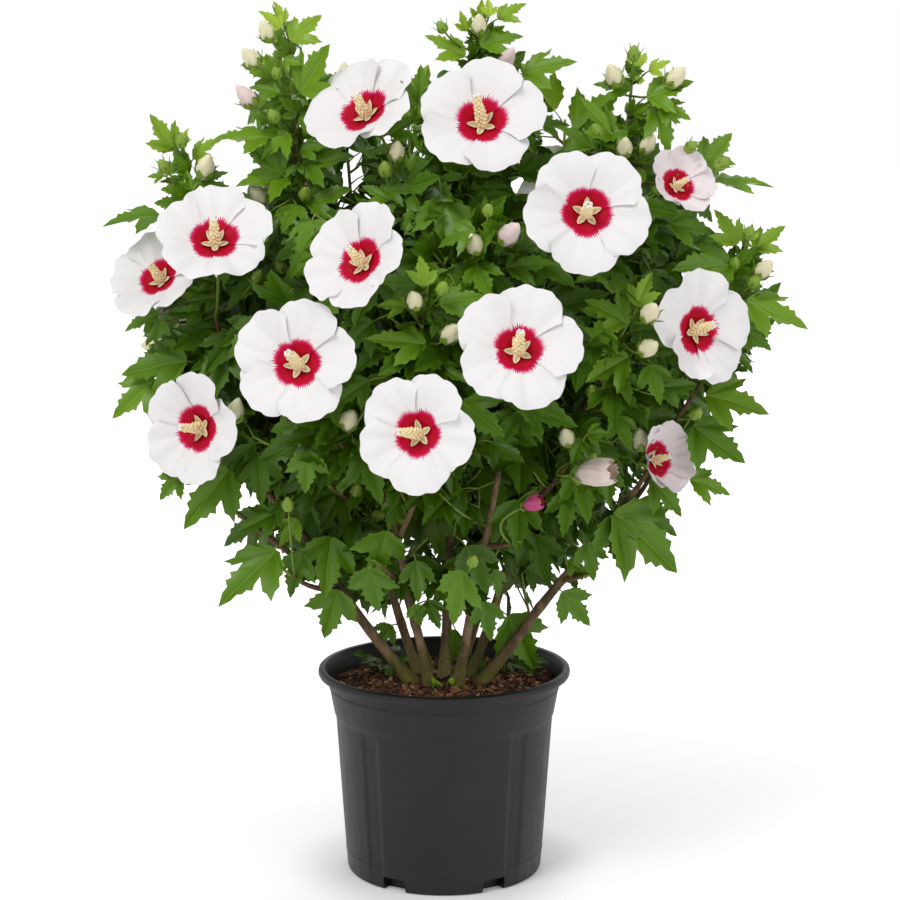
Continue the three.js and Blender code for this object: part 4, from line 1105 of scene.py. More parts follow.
# The stems carry short leafy shoots of their own, which fill the clump low down
stemGrowth = {
    "first": 0.26, "last": 0.97, "spacing": 0.012, "size": 0.038, "smallest": 0.7, "largest": 1.15,
    "spurSize": 0.8, "spray": "skirt_front",
}
for order, line in enumerate(stemLines.values()):
    name, low, high = stemGrowth["spray"], stemGrowth["first"], stemGrowth["last"]
    count = round(line["length"] * (high - low) / stemGrowth["spacing"])
    for k in range(count):
        key = order * 61 + k + 0.7
        share = mixOf(low, high, (k + 0.5) / count)
        turn = chance(order, 19) * 2 * pi + k * golden
        size = stemGrowth["size"] * spreadOf(stemGrowth["smallest"], stemGrowth["largest"], key, 6)
        sites.append(siteOn(name, order, line, share, turn, key, size))
        if k % leafGrowth["spurEvery"] == 1:
            for site in growSpur(name, order, line, key, share, turn, False, 0.0):
                sites.append({**site, "size": site["size"] * stemGrowth["spurSize"], "share": None})


# A thin twig from a spray's stem to a leaf's stalk, with smaller leaves on it
companionLook = {"least": 0.004, "first": 0.8, "smallest": 0.6, "largest": 0.85}


def growCompanions(name, order, root, stalkRoot, direction, size, key, count, bow, young):
    look = companionLook
    if np.linalg.norm(stalkRoot - root) < look["least"]:
        return
    twig = quadratic(root, mixOf(root, stalkRoot, 0.5) - upward * bow, stalkRoot, 8)
    addTwig("side", twig, twigLook["sideRadius"], twigLook["sideTipRadius"])
    for i in range(count):
        at, turn = (i + look["first"]) / count, chance(key, 3) * 2 * pi + i * golden
        small = size * spreadOf(look["smallest"], look["largest"], key, i)
        sites.append(siteOn(name, order, twig, at, turn, key + i + 0.25, small, young, tangent=direction))


# The leaves whose tips mark the crown's outline, with smaller ones behind each
reachGrowth = {
    "size": 0.054, "smallest": 0.85, "largest": 1.1, "rootAway": 1.25, "longest": 0.8, "faceOut": 0.2,
    "faceUp": 0.1, "middleY": 0.06, "youngFrom": 0.6, "youngTo": 0.74, "youngShare": 0.8,
    "companions": 3, "fewest": 1, "bow": 0.004,
}


def growReach(name, order, axis, place, index):
    look = reachGrowth
    tip = np.array(place)
    along = pointAt(axis, axisShares)
    hidden = np.array([withinSeen(spot[None]) for spot in along])
    off = np.abs(np.linalg.norm(along - tip, axis=1) - look["size"] * look["rootAway"])
    nearest = int(np.argmin(off + np.where(hidden | ~hidden.any(), 0, 1)))
    root = along[nearest]
    useAxis(name, axisShares[nearest])
    reach = float(np.linalg.norm(tip - root))
    direction = unit(tip - root)
    largest = look["size"] * spreadOf(look["smallest"], look["largest"], order, index, 9)
    size = min(reach * look["longest"], largest)
    foot = tip - direction * size
    side = math.copysign(look["faceOut"], foot[1] - look["middleY"])
    face = squareOff(np.array((foot[0], side, look["faceUp"])), direction)
    stalkRoot = foot - direction * min(size * leafGrowth["petiole"], reach - size)
    young = easeBetween(place[2], look["youngFrom"], look["youngTo"]) if name in tallSprays else 0.0
    young *= look["youngShare"]
    key = order * 31 + index + 0.5
    putLeaf(pileOf[name], stalkRoot, foot, direction, face, size, greenFor(order, foot, young, key), key)
    count = look["fewest"] if "skirt" in name else look["companions"]
    growCompanions(name, order, root, stalkRoot, direction, size, key, count, look["bow"], young)


# Leaves that the photo shows one by one, drawn from foot to tip and kept in view
seenGrowth = {
    "first": 0.2, "rootBack": 2, "forward": 0.014, "apart": 0.008, "lean": 0.5, "leanBack": -0.4,
    "faceUp": 0.85, "faceWild": 0.55, "levelUp": 1.4, "levelAway": 0.6, "stalk": 0.4,
    "viewShare": 0.34, "viewBehind": 0.004, "companions": 2, "bow": 0.003,
    "far": 20.0, "nearer": 0.6, "stemFront": 0.01,
}


# Where such a leaf grows from: its spray's own stem, or a main stem that passes much nearer
def seenRoot(name, axis, pixel):
    shares = np.linspace(seenGrowth["first"], 1, 41)
    along = pointAt(axis, shares)
    apart = np.linalg.norm(pixelOf(along) - pixel, axis=1)
    nearest = int(np.argmin(apart))
    best, root, depth = apart[nearest], along[max(0, nearest - seenGrowth["rootBack"])], along[nearest][1]
    onStem = False
    for line in stemLines.values():
        stem = pointAt(line, shares)
        away = np.linalg.norm(pixelOf(stem) - pixel, axis=1)
        spot = int(np.argmin(away))
        passes = away[spot] < seenGrowth["nearer"] * best and stem[spot][1] < seenGrowth["stemFront"]
        if passes and apart[nearest] > seenGrowth["far"]:
            best, root, depth, onStem = away[spot], stem[spot], stem[spot][1], True
    if not onStem:
        useAxis(name, shares[nearest])
    return root, depth


def growSeen(name, order, axis, spot, index):
    look = seenGrowth
    across, down, tipAcross, tipDown, green, *flat = spot
    key = order * 23 + index + 0.31
    root, depth = seenRoot(name, axis, np.array((across, down)))
    depth += look["apart"] * spreadOf(-1, 1, key, 81) - look["forward"]
    foot = placeFromPhoto(across, down, depth)
    length = float(np.linalg.norm(placeFromPhoto(tipAcross, tipDown, depth) - foot))
    tipDepth = depth - length * look["lean"] * spreadOf(look["leanBack"], 1, key, 82)
    tip = placeFromPhoto(tipAcross, tipDown, tipDepth)
    size, direction = float(np.linalg.norm(tip - foot)), unit(tip - foot)
    aside = spreadOf(-1, 1, key, 83) * look["faceWild"]
    level = flat[0] if flat else 0
    facingOut = (aside, level * look["levelAway"] - 1, look["faceUp"] + level * look["levelUp"])
    face = squareOff(np.array(facingOut), direction)
    reach = float(np.linalg.norm(root - foot))
    stalkRoot = foot + unit(root - foot) * min(reach, size * look["stalk"])
    putLeaf(pileOf[name], stalkRoot, foot, direction, face, size, green, key)
    middle = mixOf(foot, tip, 0.5)
    noteLeaf(middle)
    keepInView(middle, size * look["viewShare"], look["viewBehind"])
    growCompanions(name, order, root, stalkRoot, direction, size, key, look["companions"], look["bow"], 0.0)


for order, (name, axis) in enumerate(axes.items()):
    for index, place in enumerate(outlineTips.get(name, ())):
        growReach(name, order, axis, place, index)
    for index, spot in enumerate(leavesSeen.get(name, ())):
        growSeen(name, order, axis, spot, index)
sites.sort(key=lambda site: chance(site["key"], 13))
for site in sites:
    growLeaf(site)

# Small leaves all round the tall shoots, last of all
tipGrowth = {
    "first": 0.45, "last": 0.98, "spacing": 0.006, "size": 0.025, "smallest": 0.75, "largest": 1.3,
    "lowSize": 1.25, "shrink": 0.5, "room": 0.5, "young": 0.45,
}
for order, (name, axis) in enumerate(axes.items()):
    low, high = tipGrowth["first"], tipGrowth["last"]
    count = round(axis["length"] * (high - low) / tipGrowth["spacing"]) if name in tallSprays else 0
    for k in range(count):
        key = order * 43 + k + 0.9
        share = mixOf(low, high, (k + 0.5) / count)
        turn = chance(order, 27) * 2 * pi + k * golden
        size = tipGrowth["size"] * spreadOf(tipGrowth["smallest"], tipGrowth["largest"], key, 6)
        size *= tipGrowth["lowSize"] - tipGrowth["shrink"] * share
        young = tipGrowth["young"] * share
        more = {"share": share, "room": tipGrowth["room"]}
        growLeaf(siteOn(name, order, axis, share, turn, key, size, young, **more))
print("leaves:", leafCount, "of", len(sites), "places")
for twig in sideTwigs:
    if twig["used"] > 0:
        used = min(1.0, twig["used"] + twigLook["spare"])
        addTwig(twig["kind"], firstPart(twig["line"], used), *twig["radii"])

# Small shoots at the foot of the clump: place, spread, leaf size and green of each
sprouts = (
    {"place": (-0.053, 0.03), "spread": (0.02, 0.008), "leaves": 11, "size": 0.017, "green": 1},
    {"place": (0.052, 0.016), "spread": (0.022, 0.01), "leaves": 12, "size": 0.017, "green": 1},
    {"place": (-0.003, -0.027), "spread": (0.005, 0.003), "leaves": 6, "size": 0.009, "green": 4},
)
sproutLook = {
    "rooted": 0.002, "forward": 0.4, "leastRise": -0.2, "mostRise": 0.5, "lean": 0.5,
    "shortest": 0.5, "tallest": 1.1, "smallest": 0.75, "largest": 1.2, "face": (0, -0.7, 1),
}
for order, sprout in enumerate(sprouts):
    look = {**sproutLook, **sprout}
    for i in range(look["leaves"]):
        turn = chance(order, i, 72) * 2 * pi
        wide = math.sqrt(chance(order, i, 73))
        x = look["place"][0] + look["spread"][0] * wide * math.cos(turn)
        y = look["place"][1] + look["spread"][1] * wide * math.sin(turn)
        root = np.array((x, y, mixTop - look["rooted"]))
        rise = spreadOf(look["leastRise"], look["mostRise"], order, i, 74)
        direction = unit((math.cos(turn), math.sin(turn) - look["forward"], rise))
        tall = spreadOf(look["shortest"], look["tallest"], order, i, 75)
        start = root + unit(direction * look["lean"] + upward) * look["size"] * tall
        face = squareOff(np.array(look["face"]), direction)
        size = look["size"] * spreadOf(look["smallest"], look["largest"], order, i, 76)
        putLeaf(leafPiles["leaves_low"], root, start, direction, face, size, look["green"], order * 40 + i)

leafMaterials = []
for name, bladeCode, veinCode in greens:
    leafMaterials.append(plainMaterial(name, bladeCode, 0.44, Specular_IOR_Level=0.42))
    leafMaterials.append(plainMaterial(name + "Vein", veinCode, 0.55, Specular_IOR_Level=0.2))
for name, pile in leafPiles.items():
    addPiece(name, pile, leafMaterials, sprayNodes(leafPieces[name]))


# Blooms: five overlapping petals with a crimson eye, the column in front and the calyx behind

# The finishes of a bloom's parts, which are its slots too: name, colour and roughness
bloomFinishes = (
    ("petalDark", "a8001c", 0.6), ("petalCrimson", "bc0028", 0.6), ("petalMagenta", "d41860", 0.6),
    ("petalWhite", "f4f2f2", 0.6), ("petalBlush", "f4ecee", 0.6), ("columnCream", "fdeecb", 0.6),
    ("antherCream", "ffeebc", 0.7), ("stigmaWhite", "fffaf0", 0.6), ("starCream", "f6e0c6", 0.6),
    ("calyxGreen", "84a23c", 0.5), ("bractGreen", "6a8a2c", 0.5), ("spentCream", "f3e2d8", 0.6),
    ("spentBrown", "c07a48", 0.7), ("wiltedPink", "c84a80", 0.6), ("starOlive", "c6bd84", 0.6),
)
bloomSlots = {name: slot for slot, (name, code, roughness) in enumerate(bloomFinishes)}
petalShine = 0.15

# Ripples are rows of how many cross a petal, their shift and their size
petalLook = {
    "columns": 30, "rows": (0.05, 0.12, 0.2, 0.262, 0.312, 0.362, 0.47, 0.58, 0.69, 0.79, 0.88, 0.94, 1.0),
    "toneRows": (2, 4, 5), "halfPlaces": (0.05, 0.35, 0.7, 1.0), "halfAngles": (38, 39, 44, 46),
    "rimDrop": 0.27, "rimPower": 2.6, "rimScallop": 0.022, "scallops": ((7.5, 1, 1.5),),
    "fineScallops": ((23, 2, 0.25),), "spikeIn": 0.02, "spikeOut": 0.062, "spike": (1.0, -0.55),
    "spikeLeast": 0.25, "spikeWild": 0.75, "lobed": (0.008, 0.03, 0.036), "size": 0.985,
    "cup": 0.34, "reflex": 0.1, "leastReflex": 0.3, "mostReflex": 1.6, "twist": 0.03, "spine": 0.04,
    "ruffle": 0.036, "ruffles": ((5.2, 1, 1), (9.5, 1.7, 0.6)),
    "fold": 0.02, "folds": ((10, 0.5, 1),), "foldFrom": 0.15, "foldTo": 0.75, "foldFade": 0.4,
    "crease": 0.003, "creases": ((23, 1, 1),), "creaseFrom": 0.3, "creaseTo": 0.7,
    "creaseFade": (0.85, 1.0, 0.5),
    "closedDeep": 0.74, "closedWide": 0.84, "closedFrom": 0.8, "widePower": 1.9, "deepPower": 1.25,
    "curled": {"right_high": (215, 0.5), "top_left": (300, 0.62), "front_centre": (20, 0.68)},
}
columnLook = {
    "forRadius": 0.05, "length": 0.0235, "rise": 0.0115, "rooted": 0.002, "bendShare": 0.62,
    "radiusPlaces": (0, 0.12, 0.3, 1), "radii": (0.0044, 0.0034, 0.0026, 0.0015), "sides": 10,
    "anthers": 70, "antherSize": 0.0015, "firstAnther": 0.16, "lastAnther": 0.97,
    "antherOut": 0.0033, "footOut": 1.3, "tipOut": 0.72,
    "stigma": 0.0014, "stigmaOut": 0.0022, "stigmaUp": 0.001,
    "starSize": (0.0116, 0.0027, 0.0035), "starUp": 0.0008,
    "lean": {
        "left_low": (-0.5, 0.1), "middle_low": (-1.0, 0.0), "middle_left": (-0.4, 0.4),
        "left_high": (0.0, 0.6), "left_upper": (-0.2, 0.4), "top_left": (-0.1, 0.3),
        "front_centre": (-0.2, 0.4), "top": (-0.3, 1.1), "front_high": (0.0, 0.2), "middle": (0.1, 0.8),
        "right_high": (0.4, 0.3), "right_tall": (0.5, 0.0), "right_low": (0.3, 0.1)},
}


def gridKind(columns, rows):
    bm = bmesh.new()
    bmesh.ops.create_grid(bm, x_segments=columns, y_segments=rows, size=1)
    return shapeFrom(bm)


def makePetalKind():
    columns, rows = petalLook["columns"], len(petalLook["rows"]) - 1
    shape = gridKind(columns, rows)
    shape["row"] = np.rint((shape["points"][:, 1] + 1) / 2 * rows).astype(int)
    shape["column"] = np.rint((shape["points"][:, 0] + 1) / 2 * columns).astype(int)
    band = shape["row"][shape["corners"]].min(axis=1)
    tones = [bloomSlots[name] for name in ("petalDark", "petalCrimson", "petalMagenta")]
    below = [band < row for row in petalLook["toneRows"]]
    shape["slots"] = np.select(below, tones, bloomSlots["petalWhite"])
    return shape


petalKind = makePetalKind()


# How wide and how deep a bloom's funnel is at a share of the petals' length
def funnel(u, openness):
    look = petalLook
    closed = min(1.0, (1 - openness) / look["closedFrom"])
    wide = mixOf(u, look["closedWide"] * (1 - (1 - u) ** look["widePower"]), closed)
    deep = mixOf(look["cup"] * (1 - (1 - u) ** 2), look["closedDeep"] * u ** look["deepPower"], closed)
    return wide, deep


def ripples(v, wave, rows):
    return sum(size * np.sin(v * count + wave * shift) for count, shift, size in rows)


def roundAxis(r, theta, z):
    return np.stack((r * np.cos(theta), r * np.sin(theta), z), axis=1)


def petalPoints(radius, openness, turn, key):
    look = petalLook
    v = petalKind["points"][:, 0]
    out = np.abs(v)
    row, column = petalKind["row"], petalKind["column"]
    u = np.array(look["rows"])[row]
    jag = np.array([chance(key, c, 51) for c in range(look["columns"] + 1)])[column]
    zigzag = np.array(look["spike"])[column % 2] * (look["spikeLeast"] + look["spikeWild"] * jag)
    u = u + np.select((row == 4, row == 5), (look["spikeIn"], look["spikeOut"]), 0) * zigzag
    u = u - np.select((row == 3, row == 4, row == 5), look["lobed"], 0) * out ** 3
    theta = turn - np.radians(np.interp(u, look["halfPlaces"], look["halfAngles"])) * v
    wave = 2 * pi * chance(key, 52)
    scallop = np.abs(ripples(v, wave, look["scallops"])) + ripples(v, wave, look["fineScallops"])
    rim = 1 - look["rimDrop"] * out ** look["rimPower"] + look["rimScallop"] * scallop * u ** 6
    size = radius * look["size"] * spreadOf(0.97, 1.03, key, 53)
    wide, deep = funnel(u, openness)
    r = size * wide * mixOf(1, rim, u ** 1.5)
    reflex = spreadOf(look["leastReflex"], look["mostReflex"], key, 54)
    z = size * (deep - look["reflex"] * u ** 4 * reflex * openness)
    z = z + size * look["twist"] * v * u
    z = z + size * look["ruffle"] * ripples(v, wave, look["ruffles"]) * u ** 3 * (0.5 + out)
    folding = easeIn(u, look["foldFrom"], look["foldTo"])
    z = z + size * look["fold"] * ripples(v, wave, look["folds"]) * folding * (1 - look["foldFade"] * out)
    fadeFrom, fadeTo, fade = look["creaseFade"]
    creasing = easeIn(u, look["creaseFrom"], look["creaseTo"])
    fading = 1 - easeIn(u, fadeFrom, fadeTo) * fade
    z = z + size * look["crease"] * ripples(v, wave, look["creases"]) * creasing * fading
    z = z - size * look["spine"] * (1 - out) ** 3 * u
    return roundAxis(r, theta, z)


# A shape's own Z goes onto the bloom's direction, and its own Y as near upwards as that allows
def onBloom(points, place, direction):
    level = upward if abs(direction[2]) < 0.95 else np.array((0.0, 1.0, 0.0))
    high = squareOff(level, direction)
    side = np.cross(high, direction)
    return place + points @ np.stack((side, high, direction))


def ballKind():
    bm = bmesh.new()
    bmesh.ops.create_icosphere(bm, subdivisions=1, radius=1)
    return shapeFrom(bm)


ball = ballKind()


def addBall(place, direction, radius, slot, stretch=1.3):
    forward = unit(direction)
    points = placed(ball["points"] * (stretch, 1, 1), place, forward, squareTo(forward, 0), radius)
    addPlain(blooms, ball, points, bloomSlots[slot])


def addColumn(place, direction, size, key, name):
    look = columnLook
    grown = size / look["forRadius"]
    high = squareOff(upward, direction)
    aside, rise = look["lean"].get(name, (0.0, spreadOf(0.3, 1.0, key, 61)))
    lean = np.cross(high, direction) * aside + high * rise
    end = place + (direction * look["length"] + lean * look["rise"]) * grown
    bend = place + direction * look["length"] * look["bendShare"] * grown
    line = quadratic(place - direction * look["rooted"], bend, end, 16)
    shares = np.linspace(0, 1, 9)
    radii = np.interp(shares, look["radiusPlaces"], look["radii"]) * grown
    cream = bloomSlots["columnCream"]
    addTube(blooms, pointAt(line, shares), radii, look["sides"], lambda share: np.full(len(share), cream))
    for i in range(look["anthers"]):
        step = (i + chance(key, i, 62)) / look["anthers"]
        share = mixOf(look["firstAnther"], look["lastAnther"], step)
        out = squareTo(tangentAt(line, share), i * golden)
        spread = look["antherOut"] * grown * spreadOf(0.85, 1.15, key, i, 63)
        spread *= look["footOut"] - look["tipOut"] * share
        antherSize = look["antherSize"] * grown * spreadOf(0.8, 1.2, key, i, 64)
        addBall(pointAt(line, share) + out * spread, out, antherSize, "antherCream")
    for i in range(5):
        out = squareTo(tangentAt(line, 1), i * 2 * pi / 5)
        spot = end + out * look["stigmaOut"] * grown + direction * look["stigmaUp"]
        addBall(spot, out, look["stigma"] * grown, "stigmaWhite", 1)


# Five cream arms that fill the gaps between the petals' narrow feet, each ridged and olive inside
starLook = {
    "ridge": ((0, 0.5), (0.5, 0.3), (0.86, 0.26), (1, 0.25)),
    "middle": ((0.3, 0.5), (0.56, 0.55), (0.82, 0.28)), "middleHigh": 0.3,
    "edge": ((0.26, 0.95), (0.58, 1), (0.86, 0.55)), "edgeHigh": 0.1,
    "oliveWide": 0.45, "oliveLeast": 0.12, "oliveFrom": 0.3,
}


def starKind():
    bm = bmesh.new()
    ridge = [bm.verts.new((x, 0, z)) for x, z in starLook["ridge"]]
    for side in (1, -1):
        middle = [bm.verts.new((x, y * side, starLook["middleHigh"])) for x, y in starLook["middle"]]
        edge = [bm.verts.new((x, y * side, starLook["edgeHigh"])) for x, y in starLook["edge"]]
        bands = [(ridge[0], middle[0], edge[0]), (ridge[2], ridge[3], middle[2])]
        bands.append((middle[2], ridge[3], edge[2]))
        for i in range(2):
            bands.append((ridge[i], ridge[i + 1], middle[i + 1], middle[i]))
            bands.append((middle[i], middle[i + 1], edge[i + 1], edge[i]))
        for band in bands:
            bm.faces.new(band if side > 0 else band[::-1])
    return shapeFrom(bm, starSlots)


def starSlots(middles):
    olive = np.abs(middles[:, 1]) < starLook["oliveWide"] * (1 - middles[:, 0]) + starLook["oliveLeast"]
    olive = olive & (middles[:, 0] > starLook["oliveFrom"])
    return np.where(olive, bloomSlots["starOlive"], bloomSlots["starCream"])


star = starKind()

# A leafy lobe of the calyx, hugging a cup and ending in a point
sepal = gridKind(4, 6)


def sepalPoints(count, index, cup, length, width, spreadOut):
    v = sepal["points"][:, 0]
    u = (sepal["points"][:, 1] + 1) / 2
    theta = 2 * pi * index / count - v * pi / count * width * (1 - u ** 2.2)
    r = cup * np.sin(np.minimum(u * 1.5 + 0.12, 1) * pi / 2) + spreadOut * u ** 2
    return roundAxis(r, theta, length * u)


calyxLook = {
    "length": 0.021, "cup": 0.0072, "wide": 1.12, "flare": 0.004, "bracts": 7, "bractCup": 0.75,
    "bractLength": 0.015, "bractWide": 0.3, "bractOut": 0.012, "bractTurn": 0.3, "back": 0.015,
}


def addCalyx(place, direction, size=1.0, short=1.0):
    look = calyxLook
    for i in range(5):
        length, flare = look["length"] * size * short, look["flare"] * size * short
        points = sepalPoints(5, i, look["cup"] * size, length, look["wide"], flare)
        addPlain(blooms, sepal, onBloom(points, place, direction), bloomSlots["calyxGreen"])
    for i in range(look["bracts"]):
        cup = look["cup"] * look["bractCup"] * size
        length, out = look["bractLength"] * size * short, look["bractOut"] * size * short
        points = sepalPoints(look["bracts"], i + look["bractTurn"], cup, length, look["bractWide"], out)
        addPlain(blooms, sepal, onBloom(points, place, direction), bloomSlots["bractGreen"])


blooms = newPile()


def addBloom(name, place, direction, radius, openness, key):
    turnAll = chance(key, 71) * 2 * pi / 5 + pi / 2
    closed = min(1.0, (1 - openness) / petalLook["closedFrom"])
    curledTurn, curledOpen = petalLook["curled"].get(name, (0, openness))
    curledPetal = round((math.radians(curledTurn) - turnAll) / (2 * pi / 5)) % 5
    slots = petalKind["slots"]
    if closed > 0.5:
        slots = np.where(slots == bloomSlots["petalWhite"], bloomSlots["petalBlush"], slots)
    for k in range(5):
        petalOpen = curledOpen if k == curledPetal else openness
        points = petalPoints(radius, petalOpen, turnAll + k * 2 * pi / 5, key * 5 + k)
        addToPile(blooms, petalKind, onBloom(points, place, direction), slots)
    for k in range(5):
        angle = turnAll + (k + 0.5) * 2 * pi / 5
        arm = star["points"] * columnLook["starSize"] * radius / columnLook["forRadius"]
        wide, deep = funnel(np.hypot(arm[:, 0], arm[:, 1]) / radius, openness)
        arm[:, 2] += deep * radius
        cos, sin = math.cos(angle), math.sin(angle)
        x, y, z = arm.T
        turned = np.stack((x * cos - y * sin, x * sin + y * cos, z + columnLook["starUp"]), axis=1)
        addToPile(blooms, star, onBloom(turned, place, direction), star["slots"])
    addColumn(place, direction, radius, key, name)
    addCalyx(place - direction * calyxLook["back"], direction)


stalkLook = {"straight": 0.04, "thicker": 1.15}


def growStalk(root, end, direction, radius):
    straight = min(stalkLook["straight"], float(np.linalg.norm(end - root)) / 2)
    line = quadratic(root, end - direction * straight, end, 12)
    addTwig("stalk", line, radius * stalkLook["thicker"], radius)


bloomGrowth = {"below": 0.15, "lowest": 0.05}
for key, (name, (x, y, z, turn, lift, radius, openness)) in enumerate(openBlooms.items(), 1):
    place, direction = np.array((x, y, z)), facing(turn, lift)
    addBloom(name, place, direction, radius, openness, key)
    back = place - direction * calyxLook["back"]
    nearest = int(np.argmin(np.linalg.norm(pointAt(axes[name], axisShares) - back, axis=1)))
    share = max(bloomGrowth["lowest"], axisShares[nearest] - bloomGrowth["below"])
    useAxis(name, share)
    growStalk(pointAt(axes[name], share), back, direction, twigLook["bloomRadius"])

# Blooms that are over: rolled up to a short tube with a ragged mouth
spentBlooms = {
    "inner_right": {"place": (0.108, -0.135, 0.3785), "turn": 64, "lift": 10, "length": 0.036,
        "radius": 0.0106, "slot": "spentCream", "calyx": 1.2, "share": 0.7},
    "skirt_front_right": {"place": (0.066, -0.158, 0.356), "turn": 62, "lift": 24, "length": 0.017,
        "radius": 0.006, "slot": "wiltedPink", "calyx": 0.5, "share": 0.32},
}
spentLook = {
    "wide": 1.3, "spiral": 0.6, "ragged": 0.1, "raggedWild": 0.06, "ruffle": 0.07, "lap": 0.1,
    "places": (0, 0.15, 0.45, 0.8, 1), "wides": (0.4, 0.68, 0.96, 1, 0.78),
    "heartPlace": 0.55, "heartSize": 0.72, "calyxBack": 0.005, "calyxShort": 0.5, "stalkBack": 0.004,
}


def addSpent(spent, place, direction, key):
    look = spentLook
    v, u = petalKind["points"][:, 0], (petalKind["points"][:, 1] + 1) / 2
    for k in range(5):
        wave = 2 * pi * chance(key, k, 57)
        theta = 2 * pi * k / 5 + v * look["wide"] + u * look["spiral"]
        ragged = 1 - look["ragged"] * np.abs(np.sin(v * 4 + wave)) * u ** 3
        ragged = ragged - look["raggedWild"] * chance(key, k, 58) * u
        ruffled = 1 + look["ruffle"] * np.sin(v * 6 + wave) - look["lap"] * v
        r = spent["radius"] * np.interp(u, look["places"], look["wides"]) * ruffled
        points = roundAxis(r, theta, spent["length"] * u * ragged)
        addPlain(blooms, petalKind, onBloom(points, place, direction), bloomSlots[spent["slot"]])
    heart = place + direction * spent["length"] * look["heartPlace"]
    addBall(heart, direction, spent["radius"] * look["heartSize"], "spentBrown", 1.5)
    addCalyx(place - direction * look["calyxBack"], direction, spent["calyx"], look["calyxShort"])


for key, (name, spent) in enumerate(spentBlooms.items(), 90):
    place, direction = np.array(spent["place"]), facing(spent["turn"], spent["lift"])
    addSpent(spent, place, direction, key)
    base = place - direction * spentLook["stalkBack"]
    growStalk(pointAt(axes[name], spent["share"]), base, direction, twigLook["spentRadius"])
    useAxis(name, spent["share"])

bloomMaterials = []
for name, code, roughness in bloomFinishes:
    shine = {"Specular_IOR_Level": petalShine} if name.startswith("petal") else {}
    bloomMaterials.append(plainMaterial(name, code, roughness, **shine))
bloomNodes = [name for name in sprays if name in openBlooms or name in spentBlooms]
addPiece("blooms", blooms, bloomMaterials, sprayNodes(bloomNodes))


# Buds: furled petals in a green calyx, and small ones that are still closed

budCream, budPink, budCalyx, budBract = range(4)
budLook = {
    "sides": 12, "rings": 9, "ridges": 5, "furlSwirl": 2.2,
    "profile": (
        (0, 0.42), (0.12, 0.8), (0.3, 1.0), (0.5, 0.97), (0.68, 0.76), (0.84, 0.46), (0.95, 0.2), (1, 0.02)),
    "lobeCup": 1.06, "lobeWide": 1.05, "lobeOut": 0.1, "lobeBack": 0.0008,
    "bracts": 7, "bractCup": 0.8, "bractWide": 0.34, "bractTurn": 0.2, "bractOut": 0.75, "bractWild": 0.4,
}
budKinds = {
    "cream": {"slot": budCream, "radius": 0.30, "calyx": 0.56, "bract": 0.5, "swirl": 1.6, "furl": 0.07},
    "pink": {"slot": budPink, "radius": 0.27, "calyx": 0.5, "bract": 0.5, "swirl": 1.6, "furl": 0.07},
    "green": {"slot": budCalyx, "radius": 0.36, "calyx": 0, "bract": 0.85, "swirl": 0.25, "furl": 0.1},
}
budPile = newPile()


def budKind():
    bm = bmesh.new()
    bmesh.ops.create_uvsphere(bm, u_segments=budLook["sides"], v_segments=budLook["rings"], radius=1)
    return shapeFrom(bm)


budShape = budKind()


def budPoints(length, radius, swirl, furl):
    local = budShape["points"]
    share = np.arccos(np.clip(-local[:, 2], -1, 1)) / pi
    theta = np.arctan2(local[:, 1], local[:, 0]) + swirl * share
    shares, wides = np.array(budLook["profile"]).T
    furls = np.sin(budLook["ridges"] * (theta - swirl * share * budLook["furlSwirl"]))
    r = radius * np.interp(share, shares, wides) * (1 + furl * furls)
    r[np.hypot(local[:, 0], local[:, 1]) < 1e-4] = 0
    return roundAxis(r, theta, length * share)


def addBudHead(bud):
    look, kind = budLook, budKinds[bud["kind"]]
    base, lineOut, length = bud["base"], bud["line"], bud["length"]
    radius = length * kind["radius"]
    points = budPoints(length, radius, kind["swirl"], kind["furl"])
    addPlain(budPile, budShape, onBloom(points, base, lineOut), kind["slot"])
    for i in range(5 if kind["calyx"] else 0):
        cup, out = radius * look["lobeCup"], radius * look["lobeOut"]
        lobe = sepalPoints(5, i, cup, length * kind["calyx"], look["lobeWide"], out)
        addPlain(budPile, sepal, onBloom(lobe, base - lineOut * look["lobeBack"], lineOut), budCalyx)
    for i in range(look["bracts"]):
        cup, long = radius * look["bractCup"], length * kind["bract"]
        out = radius * (look["bractOut"] + look["bractWild"] * chance(bud["key"], i))
        bract = sepalPoints(look["bracts"], i + look["bractTurn"], cup, long, look["bractWide"], out)
        addPlain(budPile, sepal, onBloom(bract, base, lineOut), budBract)


for bud in buds:
    addBudHead(bud)
    growStalk(bud["root"], bud["base"], bud["line"], twigLook["budRadius"])
budCodes = (("budCream", "f2ecc4"), ("budPink", "f6dedb"), ("budCalyx", "8aa838"), ("budBract", "6c8e28"))
budMaterials = [plainMaterial(name, code) for name, code in budCodes]
addPiece("buds", budPile, budMaterials, sprayNodes(sprays))


# Twigs and leaf stalks

for name, (stem, start, tip) in sprays.items():
    radius = min(twigLook["baseRadius"], float(stemRadius(stems[stem][2], start)))
    addTwig("axis", firstPart(axes[name], axisUsed[name], 40), radius, twigLook["tipRadius"])

twigCodes = (("twigBrown", "6e5236", 0.7), ("twigOlive", "6a6228", 0.6), ("twigGreen", "76902c", 0.5))
twigMaterials = [plainMaterial(*code) for code in twigCodes]
addPiece("twigs", twigs, twigMaterials, sprayNodes(sprays))
stalkMaterials = [plainMaterial("leafStalkGreen", "7e9834")]
addPiece("leaf_stalks", leafStalks, stalkMaterials, sprayNodes(sprays))


# Stems with the relief of their bark

